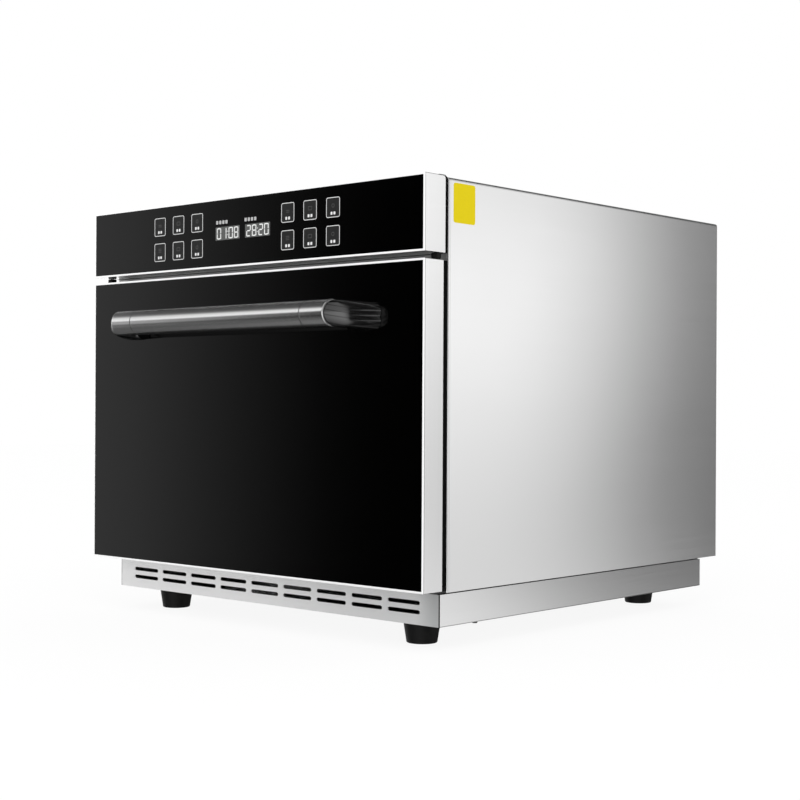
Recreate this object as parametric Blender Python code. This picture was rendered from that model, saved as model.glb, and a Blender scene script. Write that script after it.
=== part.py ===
"""Countertop speed oven: a steel box oven with a drop-down glass door and a touch panel.

Metres, +Z up. The front faces -Y, left is -X, and the origin lies on the worktop under the
middle of the whole oven.
"""

import math

import bmesh
import bpy

# Clearances and counts that all pieces share
GAP = 0.0003
OVERRUN = 0.002
ROUND_SIDES = 24
SMALL_SIDES = 12
SIDES = (("left", -1), ("right", 1))

# Rubber feet
FOOT_HEIGHT = 0.0277
FOOT_TOP_RADIUS = 0.0225
FOOT_SOLE_RADIUS = 0.0185
FOOT_CHAMFER = 0.0015
FOOT_INSET_SIDE = 0.0646
FOOT_INSET_SIDE_REAR = 0.0824
FOOT_INSET_FRONT = 0.0444
FOOT_INSET_REAR = 0.0301

# Slotted base
BASE_SIDE_INSET = 0.0111
BASE_REAR_INSET = 0.0238
BASE_HEIGHT = 0.037
BASE_WALL = 0.0015
SLOT_LENGTH = 0.0503
SLOT_HEIGHT = 0.0049
SLOT_PITCH = 0.0588
SLOT_COLUMNS = 9
SLOT_ROWS = 2
SLOT_RISE = 0.0146
SLOT_ROW_PITCH = 0.0106
SLOT_ARC_STEPS = 3

# Body shell
PLINTH_HEIGHT = 0.0032
PLINTH_INSET = 0.014
FLOOR_THICKNESS = 0.0016
BODY_WIDTH = 0.601
BODY_DEPTH = 0.5858
BODY_HEIGHT = 0.4681
WRAP_THICKNESS = 0.0012
WRAP_RADIUS = 0.004
WRAP_ARC_STEPS = 3
FRAME_THICKNESS = 0.0015
REAR_THICKNESS = 0.0012
REAR_RECESS = 0.003
VENT_LENGTH = 0.070
VENT_HEIGHT = 0.005
VENT_PITCH = 0.0125
VENT_ROWS = 8

# Door
DOOR_INSET = 0.0005
DOOR_DEPTH = 0.0329
DOOR_RISE = 0.0019
DOOR_WALL = 0.0015
TRIM_WIDTH = 0.0023
TRIM_DEPTH = 0.006
DOOR_FLANGE = 0.022
GLASS_THICKNESS = 0.004
GLASS_RECESS = 0.0003
LINER_THICKNESS = 0.0068
LINER_INSET = 0.0007
LINER_RIM = 0.043
LINER_FOOT_RIM = 0.0155
LINER_DROP = 0.003
LINER_CLEARANCE = 0.0007
INNER_PANEL_DEPTH = 0.004
INNER_PANEL_WALL = 0.0012
SEAL_WIDTH = 0.008
SEAL_MARGIN = 0.004

# Control panel
DOOR_GAP = 0.0079
PANEL_RISE = 0.0011
PANEL_HEIGHT = 0.0871
PANEL_DEPTH = 0.0357
PANEL_FLANGE = 0.015
BACKING_RISE = 0.001
BACKING_INSET = 0.001
BACKING_RADIUS = 0.005
BACKING_RIM = 0.022
DISPLAY_WIDTH = 0.045
DISPLAY_HEIGHT = 0.0166
DISPLAY_DEPTH = 0.007
DISPLAY_OFFSET = 0.0275
BOARD_WIDTH = 0.380
BOARD_HEIGHT = 0.070
BOARD_THICKNESS = 0.0016
BUFFER_WIDTH = 0.0095
BUFFER_DEPTH = 0.008
BUFFER_FROM_FRONT = 0.022
BUFFER_INSET = 0.0005
BUFFER_CLEARANCE = 0.0007

# Handle
HANDLE_RADIUS = 0.0158
HANDLE_WALL = 0.0015
HANDLE_STANDOFF = 0.037
HANDLE_BELOW_TOP = 0.0591
HANDLE_BAR_LENGTH = 0.310
HANDLE_SLEEVE_LENGTH = 0.0405
ELBOW_FOOT_OUT = 0.0386
ELBOW_FOOT_IN = 0.0178
ELBOW_FOOT_HEIGHT = 0.033
ELBOW_FOOT_DROP = 0.0025
ELBOW_ROUND_SHARE = 0.3
ELBOW_STEPS = 7
ELBOW_POINTS = 16

# Door hinges
HINGE_DEPTH = 0.020
HINGE_RISE = 0.009
HINGE_FROM_SIDE = 0.0225
HINGE_ARM_WIDTH = 0.005
HINGE_ARM_RADIUS = 0.006
HINGE_ARM_STEPS = 4
HINGE_CLEARANCE = 0.001
HINGE_PLATE_WIDTH = 0.030
HINGE_PLATE_HEIGHT = 0.048
HINGE_PLATE_THICKNESS = 0.003
PIN_RADIUS = 0.003
PIN_HEAD = 0.0015
CLEVIS_WALL = 0.003
CLEVIS_HEIGHT = 0.066

# Interlock switches
SWITCH_WIDTH = 0.016
SWITCH_DEPTH = 0.022
SWITCH_HEIGHT = 0.030
SWITCH_FROM_SIDE = 0.042
SWITCH_BELOW_TOP = 0.030
PLUNGER_RADIUS = 0.0025
PLUNGER_LENGTH = 0.016

# Oven cavity
SIDE_BAY = 0.0855
ROOF_BAY = 0.1866
REAR_BAY = 0.1483
CAVITY_WALL = 0.001
CAVITY_RISE = 0.0349
PLATE_MARGIN = 0.0007
PLATE_THICKNESS = 0.008
FAN_CHAMBER = 0.052
BAFFLE_THICKNESS = 0.0012
BAFFLE_SLOT_LENGTH = 0.090
BAFFLE_SIDE_SLOT = 0.040
BAFFLE_SLOT_HEIGHT = 0.006
BAFFLE_SLOT_PITCH = 0.018
BAFFLE_ROWS = 7
BAFFLE_SIDE_MARGIN = 0.045

# Convection fan, its motor and heater
FAN_TO_CAVITY_SHARE = 0.3347
FAN_HEIGHT = 0.024
FAN_DISC = 0.0015
FAN_BLADES = 8
FAN_HUB_RADIUS = 0.014
FAN_BLADE_THICKNESS = 0.003
FAN_BACK_SPACE = 0.008
SHAFT_RADIUS = 0.004
SHAFT_LENGTH = 0.045
MOTOR_FLANGE_RADIUS = 0.030
MOTOR_FLANGE_DEPTH = 0.004
MOTOR_NECK_RADIUS = 0.012
MOTOR_NECK_LENGTH = 0.025
MOTOR_RADIUS = 0.042
MOTOR_LENGTH = 0.060
HEATER_TUBE_RADIUS = 0.0035
HEATER_FROM_FAN = 0.010
HEATER_TURN_PITCH = 0.011
HEATER_TURNS = 1.75
HEATER_TURN_STEPS = 24
HEATER_TUBE_SIDES = 6
HEATER_FROM_WALL = 0.020
HEATER_TAIL = 0.014

# Microwave feed
STIRRER_RADIUS = 0.085
STIRRER_BLADES = 4
STIRRER_BLADE_WIDTH = 0.030
STIRRER_THICKNESS = 0.002
STIRRER_DROP = 0.013
STIRRER_SHAFT_RADIUS = 0.003
STIRRER_SHAFT_GRIP = 0.012
STIRRER_MOTOR_RADIUS = 0.024
STIRRER_MOTOR_HEIGHT = 0.026
STIRRER_FROM_FRONT = 0.180
COVER_HALF = 0.112
COVER_DEPTH = 0.024
COVER_WALL = 0.002
GUIDE_LENGTH = 0.170
GUIDE_WIDTH = 0.090
GUIDE_HEIGHT = 0.040
GUIDE_WALL = 0.0015
GUIDE_FROM_CENTRE = 0.032
PORT_LENGTH = 0.050
PORT_WIDTH = 0.060
MAGNETRON_CORE = 0.040
MAGNETRON_WIDTH = 0.078
MAGNETRON_DEPTH = 0.060
MAGNETRON_BASE = 0.004
MAGNETRON_FINS = 6
MAGNETRON_FIN = 0.003
MAGNETRON_FIN_PITCH = 0.011
MAGNETRON_BOX = 0.022
MAGNETRON_FROM_END = 0.045
ANTENNA_RADIUS = 0.010
ANTENNA_LENGTH = 0.024
ANTENNA_CLEARANCE = 0.0006

# Power supply
TRANSFORMER_WIDTH = 0.110
TRANSFORMER_DEPTH = 0.060
TRANSFORMER_HEIGHT = 0.092
WINDING_WIDTH = 0.070
WINDING_DEPTH = 0.095
WINDING_HEIGHT = 0.050
TRANSFORMER_OFFSET = 0.195
REAR_BAY_CENTRE = 0.075
CAPACITOR_WIDTH = 0.032
CAPACITOR_DEPTH = 0.052
CAPACITOR_HEIGHT = 0.088
CAPACITOR_RIM = 0.002
CAPACITOR_OFFSET = 0.105
FILTER_WIDTH = 0.090
FILTER_DEPTH = 0.050
FILTER_HEIGHT = 0.036
FILTER_LID = 0.004
GLAND_OFFSET = 0.090
GLAND_HEIGHT = 0.040
GLAND_THREAD_RADIUS = 0.010
GLAND_NUT_RADIUS = 0.014
GLAND_NUT_LENGTH = 0.008
GLAND_REACH = 0.018
GLAND_BORE_RADIUS = 0.006
HEX_SIDES = 6

# Cooling fan
COOLER_SIZE = 0.120
COOLER_DEPTH = 0.038
COOLER_BORE_RADIUS = 0.056
COOLER_OFFSET = 0.150
COOLER_BELOW_TOP = 0.085
SPIDER_RADIUS = 0.022
SPIDER_ARM_WIDTH = 0.008
SPIDER_THICKNESS = 0.006
SPIDER_ARMS = 4
WHEEL_RADIUS = 0.053
WHEEL_HUB_RADIUS = 0.020
WHEEL_BLADES = 5
WHEEL_BLADE_WIDTH = 0.012
WHEEL_DEPTH = 0.020
WHEEL_TWIST = math.radians(38)
WHEEL_STEPS = 4
WHEEL_PIN_RADIUS = 0.003

# Cavity lamp
LAMP_HOLE_RADIUS = 0.018
LAMP_FLANGE = 0.004
LAMP_FLANGE_THICKNESS = 0.0025
LAMP_HOLDER_RADIUS = 0.024
LAMP_HOLDER_LENGTH = 0.030
LAMP_FROM_FRONT = 0.120
LAMP_BELOW_TOP = 0.060

# Levels up the oven
BASE_BOTTOM = FOOT_HEIGHT + GAP
BASE_TOP = BASE_BOTTOM + BASE_HEIGHT
PLINTH_BOTTOM = BASE_TOP + GAP
BODY_BOTTOM = PLINTH_BOTTOM + PLINTH_HEIGHT
FLOOR_TOP = BODY_BOTTOM + FLOOR_THICKNESS
BODY_TOP = BODY_BOTTOM + BODY_HEIGHT
DOOR_BOTTOM = BODY_BOTTOM + DOOR_RISE
PANEL_TOP = BODY_TOP + PANEL_RISE
PANEL_BOTTOM = PANEL_TOP - PANEL_HEIGHT
DOOR_TOP = PANEL_BOTTOM - DOOR_GAP
PANEL_MIDDLE = (PANEL_BOTTOM + PANEL_TOP) / 2
HANDLE_Z = DOOR_TOP - HANDLE_BELOW_TOP
HINGE_Z = DOOR_BOTTOM + HINGE_RISE
CAVITY_BOTTOM = FLOOR_TOP + CAVITY_RISE
CAVITY_TOP = BODY_TOP - ROOF_BAY
CAVITY_MIDDLE = (CAVITY_BOTTOM + CAVITY_TOP) / 2
CAVITY_ROOF = CAVITY_TOP + CAVITY_WALL
FAN_RADIUS = (CAVITY_TOP - CAVITY_BOTTOM) * FAN_TO_CAVITY_SHARE
HEATER_INNER_RADIUS = FAN_RADIUS + HEATER_FROM_FAN

# Levels from front to back
BODY_FROM_DOOR_FRONT = DOOR_DEPTH + GAP + LINER_THICKNESS + LINER_CLEARANCE
HANDLE_REACH = HANDLE_STANDOFF + HANDLE_RADIUS
TOTAL_DEPTH = HANDLE_REACH + BODY_FROM_DOOR_FRONT + BODY_DEPTH - REAR_RECESS + GLAND_REACH
DOOR_FRONT = HANDLE_REACH - TOTAL_DEPTH / 2
DOOR_BACK = DOOR_FRONT + DOOR_DEPTH
LINER_FRONT = DOOR_BACK + GAP
LINER_BACK = LINER_FRONT + LINER_THICKNESS
BODY_FRONT = LINER_BACK + LINER_CLEARANCE
FRAME_BACK = BODY_FRONT + FRAME_THICKNESS
BODY_BACK = BODY_FRONT + BODY_DEPTH
REAR_BACK = BODY_BACK - REAR_RECESS
REAR_FRONT = REAR_BACK - REAR_THICKNESS
BASE_FRONT = BODY_FRONT - GAP
BASE_BACK = BODY_BACK - GAP - BASE_REAR_INSET
CAVITY_FRONT = FRAME_BACK + GAP
CAVITY_BACK = CAVITY_FRONT + BODY_DEPTH - REAR_BAY
CAVITY_REAR = CAVITY_BACK + CAVITY_WALL
BAFFLE_BACK = CAVITY_BACK - FAN_CHAMBER
BAFFLE_FRONT = BAFFLE_BACK - BAFFLE_THICKNESS
HANDLE_Y = DOOR_FRONT - HANDLE_STANDOFF
HINGE_Y = DOOR_FRONT + HINGE_DEPTH
STIRRER_Y = CAVITY_FRONT + STIRRER_FROM_FRONT

# Levels to either side
INNER_HALF = BODY_WIDTH / 2 - WRAP_THICKNESS - GAP
BASE_WIDTH = BODY_WIDTH - 2 * BASE_SIDE_INSET
DOOR_WIDTH = BODY_WIDTH - 2 * DOOR_INSET
CAVITY_HALF = BODY_WIDTH / 2 - SIDE_BAY
CAVITY_SIDE = CAVITY_HALF + CAVITY_WALL
BAFFLE_SIDE_X = CAVITY_HALF - BAFFLE_SIDE_MARGIN
HINGE_X = DOOR_WIDTH / 2 - HINGE_FROM_SIDE
SWITCH_X = DOOR_WIDTH / 2 - SWITCH_FROM_SIDE
SLEEVE_START = HANDLE_BAR_LENGTH / 2 + GAP
SLEEVE_END = SLEEVE_START + HANDLE_SLEEVE_LENGTH
ELBOW_START = SLEEVE_END + GAP
GUIDE_END = GUIDE_FROM_CENTRE + GUIDE_LENGTH
MAGNETRON_X = GUIDE_END - MAGNETRON_FROM_END

# Material colours as red, green, blue, then metallic and roughness
FINISHES = {
    "brushed_steel": (0.72, 0.72, 0.72, 1.0, 0.32),
    "polished_trim": (0.86, 0.86, 0.86, 1.0, 0.2),
    "satin_handle": (0.66, 0.66, 0.66, 1.0, 0.28),
    "grey_steel": (0.5, 0.5, 0.5, 1.0, 0.4),
    "cavity_steel": (0.62, 0.62, 0.62, 1.0, 0.3),
    "black_glass": (0.008, 0.008, 0.008, 0.0, 0.05),
    "black_plastic": (0.015, 0.015, 0.015, 0.0, 0.45),
    "black_rubber": (0.02, 0.02, 0.022, 0.0, 0.7),
    "silicone": (0.25, 0.24, 0.22, 0.0, 0.6),
    "ceramic": (0.83, 0.81, 0.76, 0.0, 0.55),
    "lens_glass": (0.8, 0.85, 0.85, 0.0, 0.1),
    "circuit_board": (0.03, 0.14, 0.06, 0.0, 0.5),
    "heater_sheath": (0.3, 0.29, 0.28, 1.0, 0.45),
    "aluminium": (0.75, 0.76, 0.77, 1.0, 0.4),
    "display_cell": (0.2, 0.2, 0.2, 0.0, 0.3),
}


def finish(name):
    """The material of this finish, made once."""
    found = bpy.data.materials.get(name)
    if found:
        return found
    red, green, blue, metallic, roughness = FINISHES[name]
    material = bpy.data.materials.new(name)
    material.use_nodes = True
    shader = material.node_tree.nodes["Principled BSDF"]
    shader.inputs["Base Color"].default_value = (red, green, blue, 1)
    shader.inputs["Metallic"].default_value = metallic
    shader.inputs["Roughness"].default_value = roughness
    return material


def on(axis, outline, level):
    """Flat points lifted to a level of this axis; the other two axes keep their order."""
    if axis == "X":
        return [(level, u, v) for u, v in outline]
    if axis == "Y":
        return [(u, level, v) for u, v in outline]
    return [(u, v, level) for u, v in outline]


def circle(radius, sides=ROUND_SIDES, centre=(0, 0), turn=0.0):
    """Points round a circle."""
    angles = [turn + 2 * math.pi * i / sides for i in range(sides)]
    return [(centre[0] + radius * math.cos(a), centre[1] + radius * math.sin(a)) for a in angles]


def rectangle(low, high):
    """Corners of a rectangle between two opposite corners."""
    return [(low[0], low[1]), (high[0], low[1]), (high[0], high[1]), (low[0], high[1])]


def arc(centre, radius, start, end, steps):
    """Points along an arc, both ends included."""
    angles = [start + (end - start) * i / steps for i in range(steps + 1)]
    return [(centre[0] + radius * math.cos(a), centre[1] + radius * math.sin(a)) for a in angles]


def rounded_rectangle(low, high, radius, steps):
    """A rectangle whose corners are arcs."""
    quarter = math.pi / 2
    centres = rectangle([v + radius for v in low], [v - radius for v in high])
    points = []
    for i, centre in enumerate(centres):
        points += arc(centre, radius, math.pi + i * quarter, math.pi + (i + 1) * quarter, steps)
    return points


def arch(half, bottom, top, radius, steps):
    """An outline from one bottom corner over two rounded top corners to the other."""
    quarter = math.pi / 2
    right = arc((half - radius, top - radius), radius, 0, quarter, steps)
    left = arc((radius - half, top - radius), radius, quarter, 2 * quarter, steps)
    return [(half, bottom)] + right + left + [(-half, bottom)]


def stadium(centre, length, height, steps):
    """A slot's outline with round ends."""
    radius = height / 2
    reach = length / 2 - radius
    right = arc((centre[0] + reach, centre[1]), radius, -math.pi / 2, math.pi / 2, steps)
    left = arc((centre[0] - reach, centre[1]), radius, math.pi / 2, 3 * math.pi / 2, steps)
    return right + left


def star(arms, hub_radius, tip_radius, width, turn=0.0):
    """Arms of one width standing out of a round hub."""
    points = []
    for i in range(arms):
        middle = turn + 2 * math.pi * i / arms
        for radius, side in ((hub_radius, -1), (tip_radius, -1), (tip_radius, 1), (hub_radius, 1)):
            angle = middle + side * math.asin(width / 2 / radius)
            points.append((radius * math.cos(angle), radius * math.sin(angle)))
        between = middle + math.pi / arms
        points.append((hub_radius * math.cos(between), hub_radius * math.sin(between)))
    return points


def moved(outline, centre):
    """An outline shifted to a centre."""
    return [(u + centre[0], v + centre[1]) for u, v in outline]


def loft(mesh, loops, closed=False):
    """Skins loops of points in turn, and joins the last to the first or caps both ends."""
    rows = [[mesh.verts.new(point) for point in loop] for loop in loops]
    pairs = list(zip(rows, rows[1:]))
    if closed:
        pairs.append((rows[-1], rows[0]))
    else:
        mesh.faces.new(rows[0])
        mesh.faces.new(rows[-1])
    for first, second in pairs:
        for i in range(len(first)):
            j = (i + 1) % len(first)
            mesh.faces.new((first[i], first[j], second[j], second[i]))
    return mesh


def prism(axis, outline, low, high):
    """A solid of one outline between two levels."""
    return loft(bmesh.new(), [on(axis, outline, low), on(axis, outline, high)])


def turned(axis, centre, profile, sides=ROUND_SIDES):
    """A turned solid: each step of the profile is a radius and a level on the axis."""
    loops = [on(axis, circle(radius, sides, centre), level) for radius, level in profile]
    return loft(bmesh.new(), loops)


def block(low, high):
    """A cuboid between two opposite corners."""
    return prism("Z", rectangle(low[:2], high[:2]), low[2], high[2])


def pan(low, high, wall, axis, open_end):
    """A tray: five walls of a cuboid, open at the low (-1) or high (1) end of an axis."""
    index = "XYZ".index(axis)
    others = [i for i in range(3) if i != index]
    outer = rectangle([low[i] for i in others], [high[i] for i in others])
    inner = rectangle([low[i] + wall for i in others], [high[i] - wall for i in others])
    shut, rim = (low[index], high[index]) if open_end > 0 else (high[index], low[index])
    inside = shut + open_end * wall
    levels = [on(axis, outer, shut), on(axis, outer, rim), on(axis, inner, rim), on(axis, inner, inside)]
    return loft(bmesh.new(), levels)


def ring(axis, outer, inner, low, high):
    """A flat ring between two outlines that have as many points as each other."""
    levels = [on(axis, outer, low), on(axis, outer, high), on(axis, inner, high), on(axis, inner, low)]
    return loft(bmesh.new(), levels, closed=True)


def rim_frame(low, high, section):
    """A rectangular frame facing -Y: each step of its section is an inset and a level."""
    loops = []
    for inset, level in section:
        corners = rectangle([v + inset for v in low], [v - inset for v in high])
        loops.append(on("Y", corners, level))
    return loft(bmesh.new(), loops, closed=True)


def place(name, mesh, material, origin=(0, 0, 0), parent=None, smooth=False):
    """Makes the object of a mesh drawn in world places, with its origin where asked."""
    bmesh.ops.recalc_face_normals(mesh, faces=mesh.faces)
    bmesh.ops.translate(mesh, verts=mesh.verts, vec=[-v for v in origin])
    data = bpy.data.meshes.new(name)
    mesh.to_mesh(data)
    mesh.free()
    thing = bpy.data.objects.new(name, data)
    bpy.context.scene.collection.objects.link(thing)
    if material:
        data.materials.append(finish(material))
    if smooth:
        data.shade_smooth()
        data.set_sharp_from_angle(angle=math.radians(35))
    if parent:
        thing.parent = parent
        origin = [v - p for v, p in zip(origin, parent.location)]
    thing.location = origin
    return thing


def helper(name, mesh):
    """A cutter or an added shape that a Boolean takes and that isn't shown itself."""
    thing = place(name, mesh, None)
    thing.hide_render = True
    thing.display_type = "WIRE"
    return thing


def boolean(target, tool, operation):
    """Cuts the tool from the target, or joins it on."""
    modifier = target.modifiers.new(tool.name, "BOOLEAN")
    modifier.operation = operation
    modifier.solver = "EXACT"
    modifier.object = tool
    return target


def cut(target, name, mesh):
    """Cuts a mesh out of an object."""
    return boolean(target, helper(name, mesh), "DIFFERENCE")


def join(target, name, mesh):
    """Joins a mesh that overlaps an object to it."""
    return boolean(target, helper(name, mesh), "UNION")


def pivot(name, location):
    """An empty on a joint's axis."""
    empty = bpy.data.objects.new(name, None)
    empty.location = location
    bpy.context.scene.collection.objects.link(empty)
    return empty


def slot_cutters(axis, centres, length, height, low, high):
    """One mesh with a round-ended cutter at each centre."""
    mesh = bmesh.new()
    for centre in centres:
        outline = stadium(centre, length, height, SLOT_ARC_STEPS)
        loft(mesh, [on(axis, outline, low - OVERRUN), on(axis, outline, high + OVERRUN)])
    return mesh


def feet():
    """Four tapered rubber feet under the base."""
    for side, sign in SIDES:
        front = ("front", FOOT_INSET_SIDE, BASE_FRONT + FOOT_INSET_FRONT)
        rear = ("rear", FOOT_INSET_SIDE_REAR, BASE_BACK - FOOT_INSET_REAR)
        for row, inset, y in (front, rear):
            x = sign * (BASE_WIDTH / 2 - inset)
            profile = [
                (FOOT_SOLE_RADIUS - FOOT_CHAMFER, 0),
                (FOOT_SOLE_RADIUS, FOOT_CHAMFER),
                (FOOT_TOP_RADIUS, FOOT_HEIGHT),
            ]
            mesh = turned("Z", (x, y), profile)
            place(f"foot_{row}_{side}", mesh, "black_rubber", (x, y, 0), smooth=True)


def base_tray():
    """The base pan with two rows of air slots in its front."""
    half = BASE_WIDTH / 2
    low = (-half, BASE_FRONT, BASE_BOTTOM)
    high = (half, BASE_BACK, BASE_TOP)
    tray = place("base_tray", pan(low, high, BASE_WALL, "Z", 1), "brushed_steel")
    first = -(SLOT_COLUMNS - 1) / 2 * SLOT_PITCH
    centres = []
    for row in range(SLOT_ROWS):
        z = BASE_BOTTOM + SLOT_RISE + row * SLOT_ROW_PITCH
        centres += [(first + column * SLOT_PITCH, z) for column in range(SLOT_COLUMNS)]
    front = (BASE_FRONT, BASE_FRONT + BASE_WALL)
    cut(tray, "base_slots", slot_cutters("Y", centres, SLOT_LENGTH, SLOT_HEIGHT, *front))


def chassis_floor():
    """The body's floor plate, with the narrower plinth below it that stands on the base."""
    low = (-INNER_HALF, BODY_FRONT, BODY_BOTTOM)
    high = (INNER_HALF, REAR_BACK, FLOOR_TOP)
    floor = place("chassis_floor", block(low, high), "grey_steel")
    half = BODY_WIDTH / 2 - PLINTH_INSET
    corner = (-half, BASE_FRONT, PLINTH_BOTTOM)
    opposite = (half, BASE_BACK, (BODY_BOTTOM + FLOOR_TOP) / 2)
    join(floor, "floor_plinth", block(corner, opposite))


def outer_wrap():
    """The folded cover: both sides and the top in one sheet."""
    half = BODY_WIDTH / 2
    outer = arch(half, BODY_BOTTOM, BODY_TOP, WRAP_RADIUS, WRAP_ARC_STEPS)
    inner_top = BODY_TOP - WRAP_THICKNESS
    inner_radius = WRAP_RADIUS - WRAP_THICKNESS
    inner = arch(half - WRAP_THICKNESS, BODY_BOTTOM, inner_top, inner_radius, WRAP_ARC_STEPS)
    outline = outer + inner[::-1]
    place("outer_wrap", prism("Y", outline, BODY_FRONT, BODY_BACK), "brushed_steel")


def end_plate(name, front, back):
    """A plate that closes one end of the cover, standing on the floor plate."""
    top = BODY_TOP - WRAP_THICKNESS - GAP
    radius = WRAP_RADIUS - WRAP_THICKNESS
    outline = arch(INNER_HALF, FLOOR_TOP + GAP, top, radius, WRAP_ARC_STEPS)
    return place(name, prism("Y", outline, front, back), "grey_steel")


def front_frame():
    """The front plate round the cavity mouth, with holes for hinges and plungers."""
    frame = end_plate("front_frame", BODY_FRONT, FRAME_BACK)
    low = (-CAVITY_HALF, BODY_FRONT - OVERRUN, CAVITY_BOTTOM)
    high = (CAVITY_HALF, FRAME_BACK + OVERRUN, CAVITY_TOP)
    cut(frame, "oven_mouth", block(low, high))
    reach = HINGE_ARM_RADIUS + HINGE_CLEARANCE
    wide = HINGE_ARM_WIDTH / 2 + HINGE_CLEARANCE
    for side, sign in SIDES:
        x = sign * HINGE_X
        low = (x - wide, BODY_FRONT - OVERRUN, HINGE_Z - reach)
        high = (x + wide, FRAME_BACK + OVERRUN, HINGE_Z + reach)
        cut(frame, f"hinge_slot_{side}", block(low, high))
        profile = [
            (PLUNGER_RADIUS + GAP, BODY_FRONT - OVERRUN),
            (PLUNGER_RADIUS + GAP, FRAME_BACK + OVERRUN),
        ]
        centre = (sign * SWITCH_X, DOOR_TOP - SWITCH_BELOW_TOP)
        cut(frame, f"plunger_hole_{side}", turned("Y", centre, profile, SMALL_SIDES))


def rear_panel():
    """The back plate with two groups of vents and a hole for the cord gland."""
    panel = end_plate("rear_panel", REAR_FRONT, REAR_BACK)
    first = BODY_TOP - COOLER_BELOW_TOP - (VENT_ROWS - 1) / 2 * VENT_PITCH
    centres = []
    for _, sign in SIDES:
        centres += [(sign * COOLER_OFFSET, first + row * VENT_PITCH) for row in range(VENT_ROWS)]
    cutters = slot_cutters("Y", centres, VENT_LENGTH, VENT_HEIGHT, REAR_FRONT, REAR_BACK)
    cut(panel, "rear_vents", cutters)
    hole = [
        (GLAND_THREAD_RADIUS + GAP, REAR_FRONT - OVERRUN),
        (GLAND_THREAD_RADIUS + GAP, REAR_BACK + OVERRUN),
    ]
    centre = (-GLAND_OFFSET, FLOOR_TOP + GLAND_HEIGHT)
    cut(panel, "gland_hole", turned("Y", centre, hole, SMALL_SIDES))


def cord_gland():
    """The hollow gland that the mains cord would come out of."""
    centre = (-GLAND_OFFSET, FLOOR_TOP + GLAND_HEIGHT)
    inside = REAR_FRONT - GAP - GLAND_NUT_LENGTH
    outside = REAR_BACK + GAP
    tip = REAR_BACK + GLAND_REACH
    steps = (
        (GLAND_NUT_RADIUS, inside),
        (GLAND_NUT_RADIUS, REAR_FRONT - GAP),
        (GLAND_THREAD_RADIUS, REAR_FRONT - GAP),
        (GLAND_THREAD_RADIUS, outside),
        (GLAND_NUT_RADIUS, outside),
        (GLAND_NUT_RADIUS, outside + GLAND_NUT_LENGTH),
        (GLAND_THREAD_RADIUS, tip),
        (GLAND_BORE_RADIUS, tip),
        (GLAND_BORE_RADIUS, inside),
    )
    loops = [on("Y", circle(radius, SMALL_SIDES, centre), level) for radius, level in steps]
    mesh = loft(bmesh.new(), loops, closed=True)
    place("cord_gland", mesh, "black_plastic", smooth=True)


def oven_cavity():
    """The five-sided oven liner with its lamp, shaft, heater and wave ports."""
    low = (-CAVITY_SIDE, CAVITY_FRONT, CAVITY_BOTTOM - CAVITY_WALL)
    high = (CAVITY_SIDE, CAVITY_REAR, CAVITY_ROOF)
    cavity = place("oven_cavity", pan(low, high, CAVITY_WALL, "Y", -1), "cavity_steel")
    rear = (CAVITY_BACK - OVERRUN, CAVITY_REAR + OVERRUN)
    roof = (CAVITY_TOP - OVERRUN, CAVITY_ROOF + OVERRUN)
    shaft = [(SHAFT_RADIUS + GAP, level) for level in rear]
    cut(cavity, "shaft_hole", turned("Y", (0, CAVITY_MIDDLE), shaft, SMALL_SIDES))
    stirrer = [(STIRRER_SHAFT_RADIUS + GAP, level) for level in roof]
    cut(cavity, "stirrer_hole", turned("Z", (0, STIRRER_Y), stirrer, SMALL_SIDES))
    for i, end in enumerate(heater_ends()):
        tail = [(HEATER_TUBE_RADIUS + GAP, level) for level in rear]
        cut(cavity, f"heater_hole_{i}", turned("Y", end, tail, SMALL_SIDES))
    for side, sign in SIDES:
        near = sign * (GUIDE_FROM_CENTRE + GUIDE_WALL)
        far = near + sign * PORT_LENGTH
        corner = (min(near, far), STIRRER_Y - PORT_WIDTH / 2, roof[0])
        opposite = (max(near, far), STIRRER_Y + PORT_WIDTH / 2, roof[1])
        cut(cavity, f"wave_port_{side}", block(corner, opposite))
    lamp = [(LAMP_HOLE_RADIUS, CAVITY_HALF - OVERRUN), (LAMP_HOLE_RADIUS, CAVITY_SIDE + OVERRUN)]
    cut(cavity, "lamp_hole", turned("X", lamp_centre(), lamp))


def ceramic_plate():
    """The loose cooking plate on the cavity floor."""
    half = CAVITY_HALF - PLATE_MARGIN
    bottom = CAVITY_BOTTOM + GAP
    low = (-half, CAVITY_FRONT + PLATE_MARGIN, bottom)
    high = (half, BAFFLE_FRONT - PLATE_MARGIN, bottom + PLATE_THICKNESS)
    place("ceramic_plate", block(low, high), "ceramic")


def air_baffle():
    """The slotted plate in front of the convection fan."""
    low = (-CAVITY_HALF + GAP, BAFFLE_FRONT, CAVITY_BOTTOM + GAP)
    high = (CAVITY_HALF - GAP, BAFFLE_BACK, CAVITY_TOP - GAP)
    baffle = place("air_baffle", block(low, high), "cavity_steel")
    first = CAVITY_MIDDLE - (BAFFLE_ROWS - 1) / 2 * BAFFLE_SLOT_PITCH
    levels = [first + row * BAFFLE_SLOT_PITCH for row in range(BAFFLE_ROWS)]
    groups = (
        ("middle", 0, BAFFLE_SLOT_LENGTH),
        ("left", -BAFFLE_SIDE_X, BAFFLE_SIDE_SLOT),
        ("right", BAFFLE_SIDE_X, BAFFLE_SIDE_SLOT),
    )
    for group, x, length in groups:
        centres = [(x, z) for z in levels]
        depth = (BAFFLE_FRONT, BAFFLE_BACK)
        cutters = slot_cutters("Y", centres, length, BAFFLE_SLOT_HEIGHT, *depth)
        cut(baffle, f"air_slots_{group}", cutters)


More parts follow.
